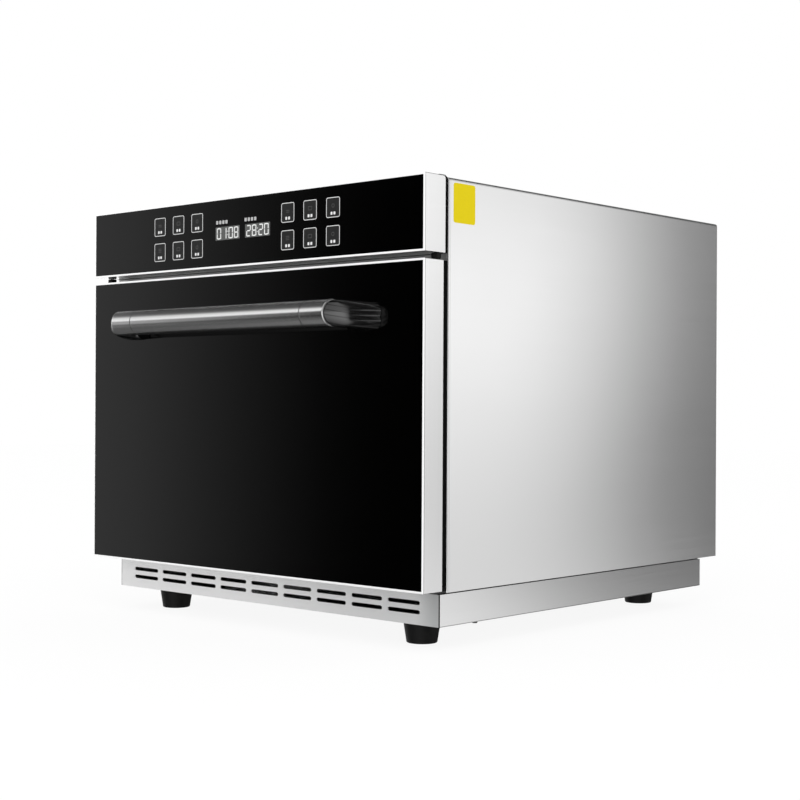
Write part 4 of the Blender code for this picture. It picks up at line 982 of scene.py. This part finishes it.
@dataclass
class Cover:
    """The outer sheet with its sticker, the end plates and the backing of the panel."""

    thickness: float = 0.0012
    corner: float = 0.004
    hem: float = 0.0011
    inset: float = 0.00006
    sticker_middle: Pair = (-0.22615, 0.5087)
    sticker_size: Pair = (0.0386, 0.0452)
    sticker_corner: float = 0.0032
    ring_corner: float = 0.005
    ring_depth: float = 0.020
    lip: float = 0.0085
    lip_thickness: float = 0.0009
    lip_inset: float = 0.0014
    lip_hold: float = 0.002
    screw_radius: float = 0.0042
    screw_height: float = 0.0018
    screw_sunk: float = 0.0002
    screw_inset: float = 0.012
    screw_column: float = 0.1

    def build(self) -> None:
        """Makes and dresses all of it."""
        self.sheet()
        self.sticker()
        self.backing()
        self.rear_screws()
        dress(["front_frame"], FrontPlate(), 0.0003)
        dress(["rear_panel"], ZincSteel(name="steel_zinc_rear"), 0.0002)
        # Much darker than the other zinc sheet: painted shade, for the dark gap under the door.
        dress(["chassis_floor"], ZincSteel(name="steel_zinc_floor", tone=0.13, roughness=0.6), 0.0003)
        dress(["cord_gland"], MouldedPlastic(name="plastic_gland", roughness=0.5), 0.0006)

    def sheet(self) -> None:
        """Both sides and the top, folded from one sheet, with a hem round the front."""
        low, high = (end.copy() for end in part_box("outer_wrap"))
        low.x, high.x = low.x + self.inset, high.x - self.inset
        form = Form().tunnel(low, high, self.corner, self.thickness, False)
        form.bevel(form.edges(lambda middle, way: self.on_rim(middle, way, low, high)), self.hem)
        form.piece("cover_sheet", CoverSteel(), Slot.STEEL, ["outer_wrap"])

    def on_rim(self, middle: Vector, way: Vector, low: Vector, high: Vector) -> bool:
        """Whether an edge lies on the front rim's outer line."""
        if abs(middle.y - low.y) > NEAR or abs(way.y) > 1 - ALONG:
            return False
        x, z = abs(middle.x) - (high.x - self.corner), middle.z - (high.z - self.corner)
        folded = x > 0 and z > 0 and math.hypot(x, z) > self.corner - self.thickness / 2
        return folded or max(x, z) > self.corner - NEAR

    def sticker(self) -> None:
        """The plain yellow sticker on the right side."""
        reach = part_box("outer_wrap")[1].x
        shape = (self.sticker_middle, self.sticker_size, self.sticker_corner)
        form = Form().plate(*shape, -reach, self.inset * 1.5).moved(Matrix.Rotation(math.pi / 2, 4, "Z"))
        yellow = Paint("sticker_yellow", (0.8, 0.64, 0.004), roughness=0.5, spread=0.03, gloss=0.1)
        form.piece("side_sticker", yellow, Slot.STEEL)

    def backing(self) -> None:
        """The black ring between panel and cover, with a lip over the panel."""
        low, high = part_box("panel_backing")
        form = Form().tunnel(low, high, self.ring_corner, self.ring_depth, True)
        form.box(
            (low.x + self.lip_inset, low.y - self.lip, high.z - self.lip_thickness),
            (high.x - self.lip_inset, low.y + self.lip_hold, high.z),
        )
        # Darker black than the other plastic as painted shade, for a ring deep in its gap, and less glossy.
        black = MouldedPlastic(name="plastic_backing", shade=0.0025, gloss=0.02)
        form.piece("backing_ring", black, Slot.PLASTIC, ["panel_backing"])

    def rear_screws(self) -> None:
        """Round-headed screws along the rear panel's edge, each with a hollow in its head."""
        low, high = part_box("rear_panel")
        bottom, top = low.z + self.screw_inset, high.z - self.screw_inset
        radius, height = self.screw_radius, self.screw_height
        shares = ((0.0, 0.45), (0.42, 0.45), (0.5, 1.0), (0.75, 0.92), (1.0, 0.4))
        profile = [(radius * out, -height * up) for out, up in shares]
        profile += [(radius, self.screw_sunk), (0.0, self.screw_sunk)]
        heads = Form()
        edge = high.x - self.screw_inset
        for x, rows in ((edge, (bottom, (bottom + top) / 2, top)), (self.screw_column, (bottom, top))):
            for sign in (-1, 1):
                for z in rows:
                    heads.lathe(Axis.Y, (sign * x, high.y, z), profile, steps=24)
        heads.piece("rear_screws", replace(ALUMINIUM, name="steel_screw_rear"), Slot.ZINC, edge=0.0003)


@dataclass
class Base:
    """The slotted pan with its corner seams, screws and rubber feet."""

    seam: float = 0.0009
    seam_proud: float = 0.00006
    seam_inward: float = 0.0009
    seam_back: float = 0.0001
    head_radius: float = 0.0036
    head: tuple[Pair, ...] = ((0.0, -0.0022), (0.8, -0.0019), (1.0, 0.0), (0.0, 0.0))
    head_edge: float = 0.001
    head_inset: float = 0.069
    sole: float = 0.0185
    top: float = 0.0225
    rounding: float = 0.0016
    hollow: tuple[Pair, ...] = ((0.0, 0.006), (0.005, 0.006), (0.006, 0.0005), (0.0075, 0.0))
    neck: tuple[Pair, ...] = ((-0.0001, -0.0012), (-0.0009, -0.0002))
    sole_screw: tuple[Pair, ...] = (
        (0.0, 0.0032), (0.0022, 0.0032), (0.0035, 0.0042), (0.0035, 0.0062), (0.0, 0.0062),
    )

    def build(self) -> None:
        """Makes and dresses all of it."""
        dress(["base_tray"], BaseSteel(low=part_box("base_tray")[0].z), 0.0006)
        self.details()
        for side in Side:
            for row in ("front", "rear"):
                self.foot(row, side)

    def details(self) -> None:
        """The dark joint lines behind the front corners, and dark screw heads under the sides."""
        low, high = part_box("base_tray")
        seams, heads = Form(), Form()
        profile = [(self.head_radius * share, along) for share, along in self.head]
        front, inset = low.y + self.seam_back, self.head_radius + self.head_edge
        for sign in (-1, 1):
            across = sorted((sign * (high.x + self.seam_proud), sign * (high.x - self.seam_inward)))
            seams.box((across[0], front, low.z), (across[1], front + self.seam, high.z))
            spot = (sign * (high.x - inset), low.y + self.head_inset, low.z)
            heads.lathe(Axis.Z, spot, profile, steps=24)
        seams.piece("base_seams", MouldedPlastic(name="plastic_seam", shade=0.008, gloss=0.1), Slot.PLASTIC)
        heads.piece("base_screws", ZincSteel(name="steel_zinc_dark", tone=0.06), Slot.ZINC)

    def foot(self, row: str, side: Side) -> None:
        """One tapered foot with rounded edges and a screw in its sole."""
        name = f"foot_{row}_{side.word}"
        low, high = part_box(name)
        centre = ((low.x + high.x) / 2, (low.y + high.y) / 2, 0.0)
        profile = list(self.hollow)
        profile += [(self.sole - self.rounding + out, up) for out, up in quarter(self.rounding)]
        profile += [(self.top + out, high.z + up) for out, up in self.neck]
        form = Form().lathe(Axis.Z, centre, profile + [(0.0, profile[-1][1])])
        form.lathe(Axis.Z, centre, self.sole_screw, steps=24)
        form.piece(f"rubber_{name}", Rubber(), Slot.RUBBER, [name])


@dataclass
class Print:
    """What is printed on the face of the control glass, whose Y is given."""

    glass: float
    ink: float = 0.00012

    def mark(
        self, form: Form, middle: Pair, size: Pair, corner: float, line: float = 0.0, layer: float = 1.0
    ) -> None:
        """Prints a plate or, with a line, an outline, in full or thinner ink."""
        form.plate(middle, size, corner, self.glass - self.ink * layer, self.ink * layer, line)


@dataclass
class Keys(Print):
    """The printed touch keys. Frame and ring are (width, height, corner, line)."""

    columns: tuple[float, ...] = (-0.1600, -0.1227, -0.0858, 0.0810, 0.1192, 0.1574)
    rows: Pair = (0.5101, 0.4770)
    size: Pair = (0.0223, 0.0237)
    corner: float = 0.0026
    line: float = 0.00085
    field_inset: float = 0.000765
    spot: Pair = (0.0032, 0.0036)
    spot_corner: float = 0.001
    spot_shift: float = 0.0024
    spot_drop: float = 0.0068
    icon_lift: float = 0.002
    bar: Pair = (0.006, 0.0009)
    bar_drop: float = 0.00155
    bar_step: float = 0.002
    frame: tuple[float, ...] = (0.0068, 0.0048, 0.001, 0.0008)
    ring: tuple[float, ...] = (0.0048, 0.0048, 0.0022, 0.0009)

    def build(self) -> None:
        """Prints all twelve keys."""
        fields, outlines, marks, icons = Form(), Form(), Form(), Form()
        field = self.field_inset
        inside = (self.size[0] - 2 * field, self.size[1] - 2 * field)
        for column, x in enumerate(self.columns):
            for row, z in enumerate(self.rows):
                self.mark(outlines, (x, z), self.size, self.corner, self.line)
                self.mark(fields, (x, z), inside, self.corner - field, layer=0.5)
                for shift in (-self.spot_shift, self.spot_shift):
                    self.mark(marks, (x + shift, z - self.spot_drop), self.spot, self.spot_corner)
                self.icon(icons, x, z + self.icon_lift, column % 3 + 3 * row)
        fields.piece("key_fields", Paint("print_key_field", (0.004,) * 3, roughness=0.6), Slot.GLASS)
        outlines.piece("key_outlines", Paint("print_key_grey", (0.8,) * 3), Slot.GLASS)
        marks.piece("key_marks", Paint("print_key_white", (0.88,) * 3), Slot.GLASS)
        icons.piece("key_icons", Paint("print_key_faint", (0.06,) * 3), Slot.GLASS)

    def icon(self, icons: Form, x: float, z: float, kind: int) -> None:
        """One plain mark: two or three bars, a frame or a ring."""
        if kind % 3 == 0:
            for level in range(2 + kind // 3):
                self.mark(icons, (x, z - self.bar_drop + level * self.bar_step), self.bar, 0)
            return
        wide, high, corner, line = self.frame if kind % 3 == 1 else self.ring
        self.mark(icons, (x, z), (wide, high), corner, line)


@dataclass
class Displays(Print):
    """The two four-digit displays and their plain captions."""

    inner: float = 0.005
    outer: float = 0.050
    low: float = 0.4849
    high: float = 0.5016
    window_corner: float = 0.0006
    digit_height: float = 0.0142
    digit_width: float = 0.0080
    digit_step: float = 0.0101
    digit_shift: float = 0.0009
    bar: float = 0.0015
    bar_ends: Pair = (0.0003, 0.0004)
    dot: Pair = (0.0012, 0.0012)
    dot_corner: float = 0.0005
    dot_shift: float = 0.0022
    captions: Pair = (-0.047, 0.006)
    caption_z: float = 0.5074
    caption_size: Pair = (0.0040, 0.0044)
    caption_corner: float = 0.0008
    caption_step: float = 0.0058

    def build(self) -> None:
        """Adds windows, digits with their dots, and captions."""
        windows, lit, captions = Form(), Form(), Form()
        z, window = (self.low + self.high) / 2, (self.outer - self.inner, self.high - self.low)
        for side, text in ((Side.LEFT, "0108"), (Side.RIGHT, "2820")):
            middle = side.value * (self.inner + self.outer) / 2
            self.mark(windows, (middle, z), window, self.window_corner, layer=0.5)
            for place, digit in enumerate(text):
                shift = self.digit_shift if place > 1 else -self.digit_shift
                self.digit(lit, middle + (place - 1.5) * self.digit_step + shift, z, digit)
            for shift in (-self.dot_shift, self.dot_shift):
                self.mark(lit, (middle, z + shift), self.dot, self.dot_corner)
        for start in self.captions:
            for step in range(4):
                spot = (start + step * self.caption_step, self.caption_z)
                self.mark(captions, spot, self.caption_size, self.caption_corner)
        windows.piece("display_windows", Paint("display_ghost", (0.105, 0.108, 0.105)), Slot.DISPLAY)
        lit.piece("display_digits", Paint("display_lit", (0.86, 0.87, 0.86), glow=0.1), Slot.DISPLAY)
        captions.piece("display_captions", Paint("print_caption", (0.55,) * 3), Slot.GLASS)

    def digit(self, lit: Form, x: float, z: float, digit: str) -> None:
        """One digit of up to seven bars."""
        wide, high, bar = self.digit_width / 2, self.digit_height / 2, self.bar / 2
        inner, outer = self.bar_ends
        levels = {"a": (1, 0), "g": (0, 0), "d": (-1, 0)}
        levels.update(f=(1, -1), b=(1, 1), e=(-1, -1), c=(-1, 1))
        for stroke in {"0": "abcdef", "1": "bc", "2": "abged", "8": "abcdefg"}[digit]:
            up, across = levels[stroke]
            middle, size = (x, z + up * (high - bar)), (2 * wide - 4 * bar, 2 * bar)
            if across:
                middle = (x + across * (wide - bar), z + up * (high - outer + inner) / 2)
                size = (2 * bar, high - outer - inner)
            self.mark(lit, middle, size, bar * 0.8)


@dataclass
class ControlPanel:
    """The touch panel: housing, glass, displays, board and print."""

    rim: float = 0.0023
    recess: float = 0.034
    rear_round: float = 0.004

    def build(self) -> None:
        """Makes and dresses all of it."""
        self.housing()
        dress(["control_glass"], replace(BACKED_GLASS, name="glass_black_panel"))
        dress(both("display"), Paint("display_cell_dark", (0.05,) * 3))
        dress(["control_board"], CircuitBoard())
        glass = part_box("control_glass")[0].y
        Keys(glass).build()
        Displays(glass).build()

    def housing(self) -> None:
        """A steel box with a bright rim round the glass, lit by a painted glow."""
        low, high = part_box("control_housing")
        form = Form().box(low, high)
        rear = form.edges(lambda middle, way: abs(way.x) > ALONG and middle.y > high.y - NEAR)
        form.bevel([edge for edge in rear if edge.verts[0].co.z > high.z - NEAR], self.rear_round, 6)
        front = form.faces(lambda middle, way: way.y < -ALONG)
        bmesh.ops.inset_region(form.mesh, faces=front, thickness=self.rim, use_even_offset=True)
        inner = [form.largest(form.faces(lambda middle, way: way.y < -ALONG))]
        sunk = points(bmesh.ops.extrude_face_region(form.mesh, geom=inner)["geom"])
        form.drop(inner)
        bmesh.ops.translate(form.mesh, vec=(0, self.recess, 0), verts=sunk)
        form.sealed().piece("panel_housing", TrayMetal(), Slot.TRIM, ["control_housing"], edge=0.00035)


@dataclass
class Handle:
    """The tube handle: bar, two end sleeves and two ribbed elbows.

    The elbow's foot spreads outwards and inwards, and its ends lean by so much per metre of depth. The
    grooves' places and width are shares of the loop's half height.
    """

    radius: float = 0.0158
    wall: float = 0.0015
    rim: float = 0.0005
    outer_rim: float = 0.0013
    elbow_radius: float = 0.0154
    support: float = 0.0004
    gap: float = 0.0003
    shadow: float = 0.0032
    slant_from: float = 0.003
    foot_out: float = 0.0389
    foot_in: float = 0.0178
    foot_height: float = 0.033
    foot_drop: float = 0.0036
    lean: float = 0.16
    neck: float = 0.12
    neck_share: float = 0.042
    neck_step: float = 0.003
    round_share: float = 0.3
    steps: int = 28
    grooves: tuple[float, ...] = (0.34, -0.02, -0.38)
    groove_width: float = 0.15
    groove_depth: float = 0.0014
    groove_start: float = 0.46
    groove_rise: float = 0.16
    groove_slope: float = 0.45
    groove_wrap: float = 1.6
    closest: float = 0.012

    def build(self) -> None:
        """Makes all of it."""
        low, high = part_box("handle_bar")
        self.joint = high.x
        self.axis = Vector((0.0, (low.y + high.y) / 2, (low.z + high.z) / 2))
        self.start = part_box("handle_sleeve_right")[1].x + self.gap
        self.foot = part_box("handle_elbow_right")[1].y
        self.tube("handle_tube", "handle_bar", self.rim, self.rim)
        for side in Side:
            ends = (self.outer_rim, self.rim)[:: -side.value]
            self.tube(f"handle_end_{side.word}", f"handle_sleeve_{side.word}", *ends)
            self.elbow(side)

    def tube(self, name: str, node: str, left: float, right: float) -> None:
        """A lathed tube with rounded rims of these radii."""
        low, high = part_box(node)
        profile: list[Pair] = []
        for end, soft, way in ((low.x, left, 1), (high.x, right, -1)):
            arc = [(self.radius - soft + out, end + way * along) for out, along in quarter(soft)]
            arc.append((self.radius, end + way * (soft + self.support)))
            profile += arc[::way]
        inside = (high.x, high.x - self.support, low.x + self.support, low.x)
        profile += [(self.radius - self.wall, x) for x in inside]
        form = Form().lathe(Axis.X, self.axis, profile, closed=True, steps=128)
        for vert in form.mesh.verts:
            if abs(vert.co.x) > self.start - self.slant_from:
                vert.co.x += math.copysign(1.0, vert.co.x) * self.lean * (vert.co.y - self.axis.y)
        form.piece(name, SatinTube(joint=self.joint), Slot.TUBE, [node], Body.DOOR)

    def angles(self) -> list[float]:
        """The places round an elbow's loop, closer together at the grooves."""
        found = [step * math.pi / 16 for step in range(32)]
        for height in self.grooves:
            for shift in (-1.0, -0.55, 0.55, 1.0):
                up = math.asin(height + shift * self.groove_width / 2)
                found += [up, math.pi - up]
        found = sorted(angle % (2 * math.pi) for angle in found)
        pairs = zip(found, found[1:] + [math.inf])
        return [angle for angle, following in pairs if following - angle > self.closest]

    def point(self, share: float, angle: float, side: Side) -> Vector:
        """A point of the elbow's skin.

        Args:
            share: how far along the bend, from 0 at the sleeve to 1 at the glass.
            angle: its place round the loop, 0 on the outer side.
            side: which elbow.

        Returns:
            The point in the oven's frame.
        """
        turn = share * math.pi / 2
        rise = share + self.round_share * (math.sin(turn) - share)
        run = share + self.round_share * (1 - math.cos(turn) - share)
        ahead, behind = self.axis.y - self.elbow_radius, self.axis.y + self.elbow_radius
        out = Vector((self.start + self.foot_out * rise, ahead + (self.foot - ahead) * run))
        inn = Vector((self.start - self.foot_in * share * share, behind + (self.foot - behind) * share))
        middle, reach = (out + inn) / 2, (out - inn) / 2
        half = self.elbow_radius + (self.foot_height / 2 - self.elbow_radius) * share
        square = 1 / (1 + share)
        across = math.copysign(abs(math.cos(angle)) ** square, math.cos(angle))
        up = math.copysign(abs(math.sin(angle)) ** square, math.sin(angle))
        offset = reach * across
        if across > 0 and self.neck_share < share:
            near = min(abs(up - groove) for groove in self.grooves) / (self.groove_width / 2)
            sunk = clamp((1.0 - near) / self.groove_slope) * clamp(across * self.groove_wrap)
            sunk *= self.groove_depth * clamp((share - self.groove_start) / self.groove_rise)
            offset -= reach.normalized() * sunk
        slim = 1 - self.neck if share <= self.neck_share else 1.0
        spot = middle + offset * slim
        spot.x += self.lean * (spot.y - self.axis.y) * max(0.0, 1 - share * 4)
        height = self.axis.z - self.foot_drop * share + up * half * slim
        return Vector((side.value * spot.x, spot.y, height))

    def around(self, vert: bmesh.types.BMVert) -> list[bmesh.types.BMVert]:
        """The vertices at the other ends of a vertex's edges."""
        return [edge.other_vert(vert) for edge in vert.link_edges]

    def rim_of(self, verts: Sequence[bmesh.types.BMVert]) -> list[bmesh.types.BMEdge]:
        """The edges that join a loop's vertices."""
        return list({edge for vert in verts for edge in vert.link_edges if edge.other_vert(vert) in verts})

    def elbow(self, side: Side) -> None:
        """A ribbed elbow that turns from the sleeve to its foot on the glass."""
        angles = self.angles()
        form = Form()
        circle = {"segments": len(angles), "radius": self.elbow_radius, "cap_ends": True}
        loop = bmesh.ops.create_circle(form.mesh, **circle)["verts"]
        for vert, angle in zip(loop, angles):
            vert.co = self.point(0.0, angle, side)
        shares = [self.neck_share, self.neck_share + self.neck_step]
        shares += [step / self.steps for step in range(2, self.steps + 1)]
        for share in shares:
            grown = set(points(bmesh.ops.extrude_edge_only(form.mesh, edges=self.rim_of(loop))["geom"]))
            loop = [next(other for other in self.around(vert) if other in grown) for vert in loop]
            for vert, angle in zip(loop, angles):
                vert.co = self.point(share, angle, side)
        bmesh.ops.contextual_create(form.mesh, geom=self.rim_of(loop))
        form.sealed()
        name = f"handle_elbow_{side.word}"
        finish = RibbedPlastic(inner=self.start - self.shadow)
        form.piece(f"ribbed_elbow_{side.word}", finish, Slot.PLASTIC, [name], Body.DOOR, smooth=40.0)


@dataclass
class Door:
    """The drop-down door with its handle, seal and hinge plates."""

    def build(self) -> None:
        """Makes and dresses all of it."""
        dress(["door_frame"], TrayMetal(name="steel_tray_door", top=0.4427, tone=0.975), 0.00035)
        dress(["door_glass"], BACKED_GLASS)
        # Darker black than the other plastic as painted shade, for a liner deep in the door's gap, and less
        # glossy.
        dress(["door_liner"], MouldedPlastic(name="plastic_liner", shade=0.0025, gloss=0.02), 0.0006)
        dress(["door_inner_panel"], CavitySteel(name="steel_door_inside"), 0.0008)
        dress(["door_seal"], SILICONE, 0.0012)
        dress(both("hinge_clevis"), ZincSteel(name="steel_zinc_hinge"), 0.0003)
        dress(both("door_buffer"), Rubber(name="rubber_buffer"), 0.0012)
        Handle().build()


@dataclass
class Interior:
    """What sits inside the cover."""

    edge: float = 0.0003

    def build(self) -> None:
        """Dresses the cooking space, its drives and the power parts."""
        dress(["oven_cavity", "air_baffle"], CavitySteel(), self.edge)
        dress(["ceramic_plate"], Ceramic(), 0.0012)
        dress(["stirrer_cover"], Ceramic(name="ceramic_cover"), 0.0008)
        dress(["convection_fan", "mode_stirrer"], replace(ALUMINIUM, name="aluminium_fan"), 0.0002)
        dress(["heater_coil"], OXIDE)
        dress(["lamp_lens"], LAMP_GLASS)
        dress(["lamp_holder", "mains_filter"], ZincSteel(name="steel_zinc_small"), self.edge)
        motor_steel = ZincSteel(name="steel_zinc_motor", tone=0.45)
        dress(["convection_motor", "stirrer_motor"], motor_steel, self.edge)
        dress(both("magnetron") + both("waveguide"), ALUMINIUM, self.edge)
        dress(both("transformer"), replace(OXIDE, name="steel_laminated"), self.edge)
        dress(both("capacitor"), replace(ALUMINIUM, name="aluminium_can", gloss=(0.3, 0.0, 0.1)), self.edge)
        dress(["cooling_fan_frame", "cooling_fan_wheel"], MouldedPlastic(name="plastic_fan"), self.edge)
        dress(both("interlock_switch"), MouldedPlastic(name="plastic_switch", shade=0.02), self.edge)
        dress(both("interlock_plunger"), Paint("plastic_plunger", (0.72, 0.7, 0.66)), self.edge)
        dress(both("hinge_bracket") + both("hinge_pin"), ZincSteel(name="steel_zinc_bracket"), self.edge)


@dataclass(frozen=True)
class Wall:
    """A soft wall of the studio: strengths by bearing and by height, both in degrees."""

    round: tuple[Pair, ...]
    rise: tuple[Pair, ...]


LEFT = Wall(
    ((130, 0.0), (135, 0.5), (180, 0.62), (205, 0.9), (216, 1.12), (217.5, 1.05), (218.6, 0.86),
     (219.7, 0.7), (221.2, 0.46), (222.7, 0.28), (224.2, 0.14), (225.7, 0.05), (227.2, 0.014),
     (229, 0.004), (235, 0.0)),
    ((-90, 0.2), (-50, 0.3), (-34, 0.12), (-15, 0.1), (-10, 0.16), (-6, 0.44), (0, 0.45), (6, 0.45),
     (8, 0.43), (9.5, 0.85), (12, 1.0), (26, 1.0), (32, 0.4), (38, 0.15), (90, 0.13)),
)
STRIP = Wall(
    ((130, 0.0), (138, 1.2), (205, 1.2), (211, 0.0)),
    ((-24, 0.0), (-14, 0.9), (0, 1.0), (14, 0.9), (22, 0.0)),
)
CORNER = Wall(
    ((243, 0.0), (256, 0.9), (297, 1.35), (324, 1.35), (332, 0.04), (354, 0.03), (360, 0.2)),
    ((-90, 0.3), (-40, 0.7), (0, 1.0), (8, 1.0), (10, 0.55), (60, 0.55), (90, 0.55)),
)
LOW = Wall(
    ((46, 0.0), (51, 0.08), (54, 0.13), (60, 0.12), (75, 0.1), (85, 0.0)),
    ((-20, 0.0), (-12, 0.9), (-7.5, 1.0), (-6, 0.6), (-4.5, 0.0)),
)
RIGHT = Wall(
    ((0, 0.2), (20, 1.03), (47, 1.22), (50, 1.15), (52, 0.8), (54, 0.38), (56, 0.18), (58, 0.115),
     (70, 0.1), (90, 0.3), (130, 0.4), (135, 0.0)),
    ((-90, 0.2), (-20, 0.6), (-8.5, 0.78), (-5.5, 0.65), (0, 0.83), (8, 1.13), (13, 0.9), (20, 0.65),
     (45, 0.5), (60, 0.15), (90, 0.1)),
)


@dataclass
class Studio:
    """Pale floor, soft light and the camera."""

    eye: Triple = (1.40415, -1.55686, 0.28187)
    azimuth: float = 42.07
    pitch: float = 0.11
    roll: float = 0.29
    lens: float = 68.29
    sensor: float = 36.0
    floor_size: float = 14.0
    peak: float = 1.4
    skew: float = 0.8
    skew_from: float = 8.0
    lean: float = 0.2
    lean_from: float = 6.0
    low_shift: float = 1.2
    low_until: Pair = (-7.5, -5.5)
    around: float = 0.92
    lamp_place: Triple = (1.4, -1.6, 2.4)
    lamp_size: float = 1.6
    lamp_power: float = 14.0

    def build(self) -> None:
        """Makes all of it."""
        self.camera()
        self.floor()
        self.world()
        self.lamp()
        bpy.context.scene.view_settings.view_transform = "Standard"

    def camera(self) -> None:
        """The camera at the photograph's place."""
        turn, tip, roll = (math.radians(angle) for angle in (self.azimuth, self.pitch, self.roll))
        ahead = Vector((-math.sin(turn) * math.cos(tip), math.cos(turn) * math.cos(tip), math.sin(tip)))
        across = Vector((math.cos(turn), math.sin(turn), 0.0))
        above = across.cross(ahead)
        right = across * math.cos(roll) + above * math.sin(roll)
        up = above * math.cos(roll) - across * math.sin(roll)
        data = bpy.data.cameras.new("camera")
        data.lens, data.sensor_width = self.lens, self.sensor
        turned = Matrix((right, up, -ahead)).transposed().to_4x4()
        bpy.context.scene.camera = put("camera", data, Matrix.Translation(self.eye) @ turned)

    def floor(self) -> None:
        """A wide white floor that keeps a faint shadow."""
        form = Form()
        bmesh.ops.create_grid(form.mesh, x_segments=1, y_segments=1, size=self.floor_size / 2)
        plane = put("floor", form.sheet("floor", Paper()))
        plane.visible_glossy = False

    def world(self) -> None:
        """White for the camera, even for dull surfaces, and a studio of soft walls for glossy ones."""
        world = bpy.data.worlds.new("studio")
        bpy.context.scene.world = world
        world.use_nodes = True
        world.cycles.sampling_method = "NONE"
        shader = Shader(world.node_tree, "ShaderNodeOutputWorld")
        x, y, z = shader.axes("Generated")
        lift = z.maths("ARCSINE", z) / (2 * math.pi)
        turn = (y.maths("ARCTAN2", y, x) / (2 * math.pi)) % 1.0
        high = lift - self.skew_from / 360
        skewed = turn - high.maths("MAXIMUM", high, 0.0) * self.skew
        above = lift.ramp(*(height / 360 for height in self.low_until))
        pull = (lift - self.lean_from / 360) * above * self.lean + (1 - above) * self.low_shift / 360
        studio = self.wall(shader, skewed, lift, LEFT)
        for place, part in ((turn, STRIP), (turn, CORNER), (turn, LOW), (turn - pull, RIGHT)):
            studio = studio + self.wall(shader, place, lift, part)
        glossy, seen = shader.rays("Is Glossy Ray"), shader.seen()
        strength = studio * glossy + seen * (1 - glossy) + (1 - glossy) * (1 - seen) * self.around
        light = shader.node("ShaderNodeBackground", None, {"Color": WHITE, "Strength": strength})
        world.node_tree.links.new(light.outputs[0], shader.output.inputs[0])

    def wall(self, shader: Shader, turn: Value, lift: Value, wall: Wall) -> Value:
        """The light that comes from one wall of the studio."""
        bearings = [(bearing / 360, strength) for bearing, strength in wall.round]
        heights = [(height / 180 + 0.5, strength) for height, strength in wall.rise]
        return self.along(shader, turn, bearings) * self.along(shader, lift * 2 + 0.5, heights)

    def along(self, shader: Shader, place: Value, stops: Sequence[Pair]) -> Value:
        """Strengths along a ramp of (place from 0 to 1, strength) pairs."""
        settings = {"stops": [(at, strength / self.peak) for at, strength in stops]}
        return shader.value("ShaderNodeValToRGB", settings, {0: place}) * self.peak

    def lamp(self) -> None:
        """One large soft lamp, front left and above, for dull surfaces only."""
        data = bpy.data.lights.new("soft_lamp", "AREA")
        data.shape, data.size, data.energy = "DISK", self.lamp_size, self.lamp_power
        aimed = Vector(self.lamp_place).to_track_quat("Z", "Y").to_matrix().to_4x4()
        lamp = put("soft_lamp", data, Matrix.Translation(self.lamp_place) @ aimed)
        lamp.visible_glossy = False
        lamp.visible_camera = False


def main() -> None:
    """Builds the studio and dresses the oven, from the outside in."""
    logging.basicConfig(level=logging.INFO, format="%(name)s: %(message)s")
    for part in (Studio(), Cover(), Base(), ControlPanel(), Door(), Interior()):
        part.build()
        LOG.info("built %s", type(part).__name__)
    bpy.context.view_layer.update()


if __name__ == "__main__":
    main()
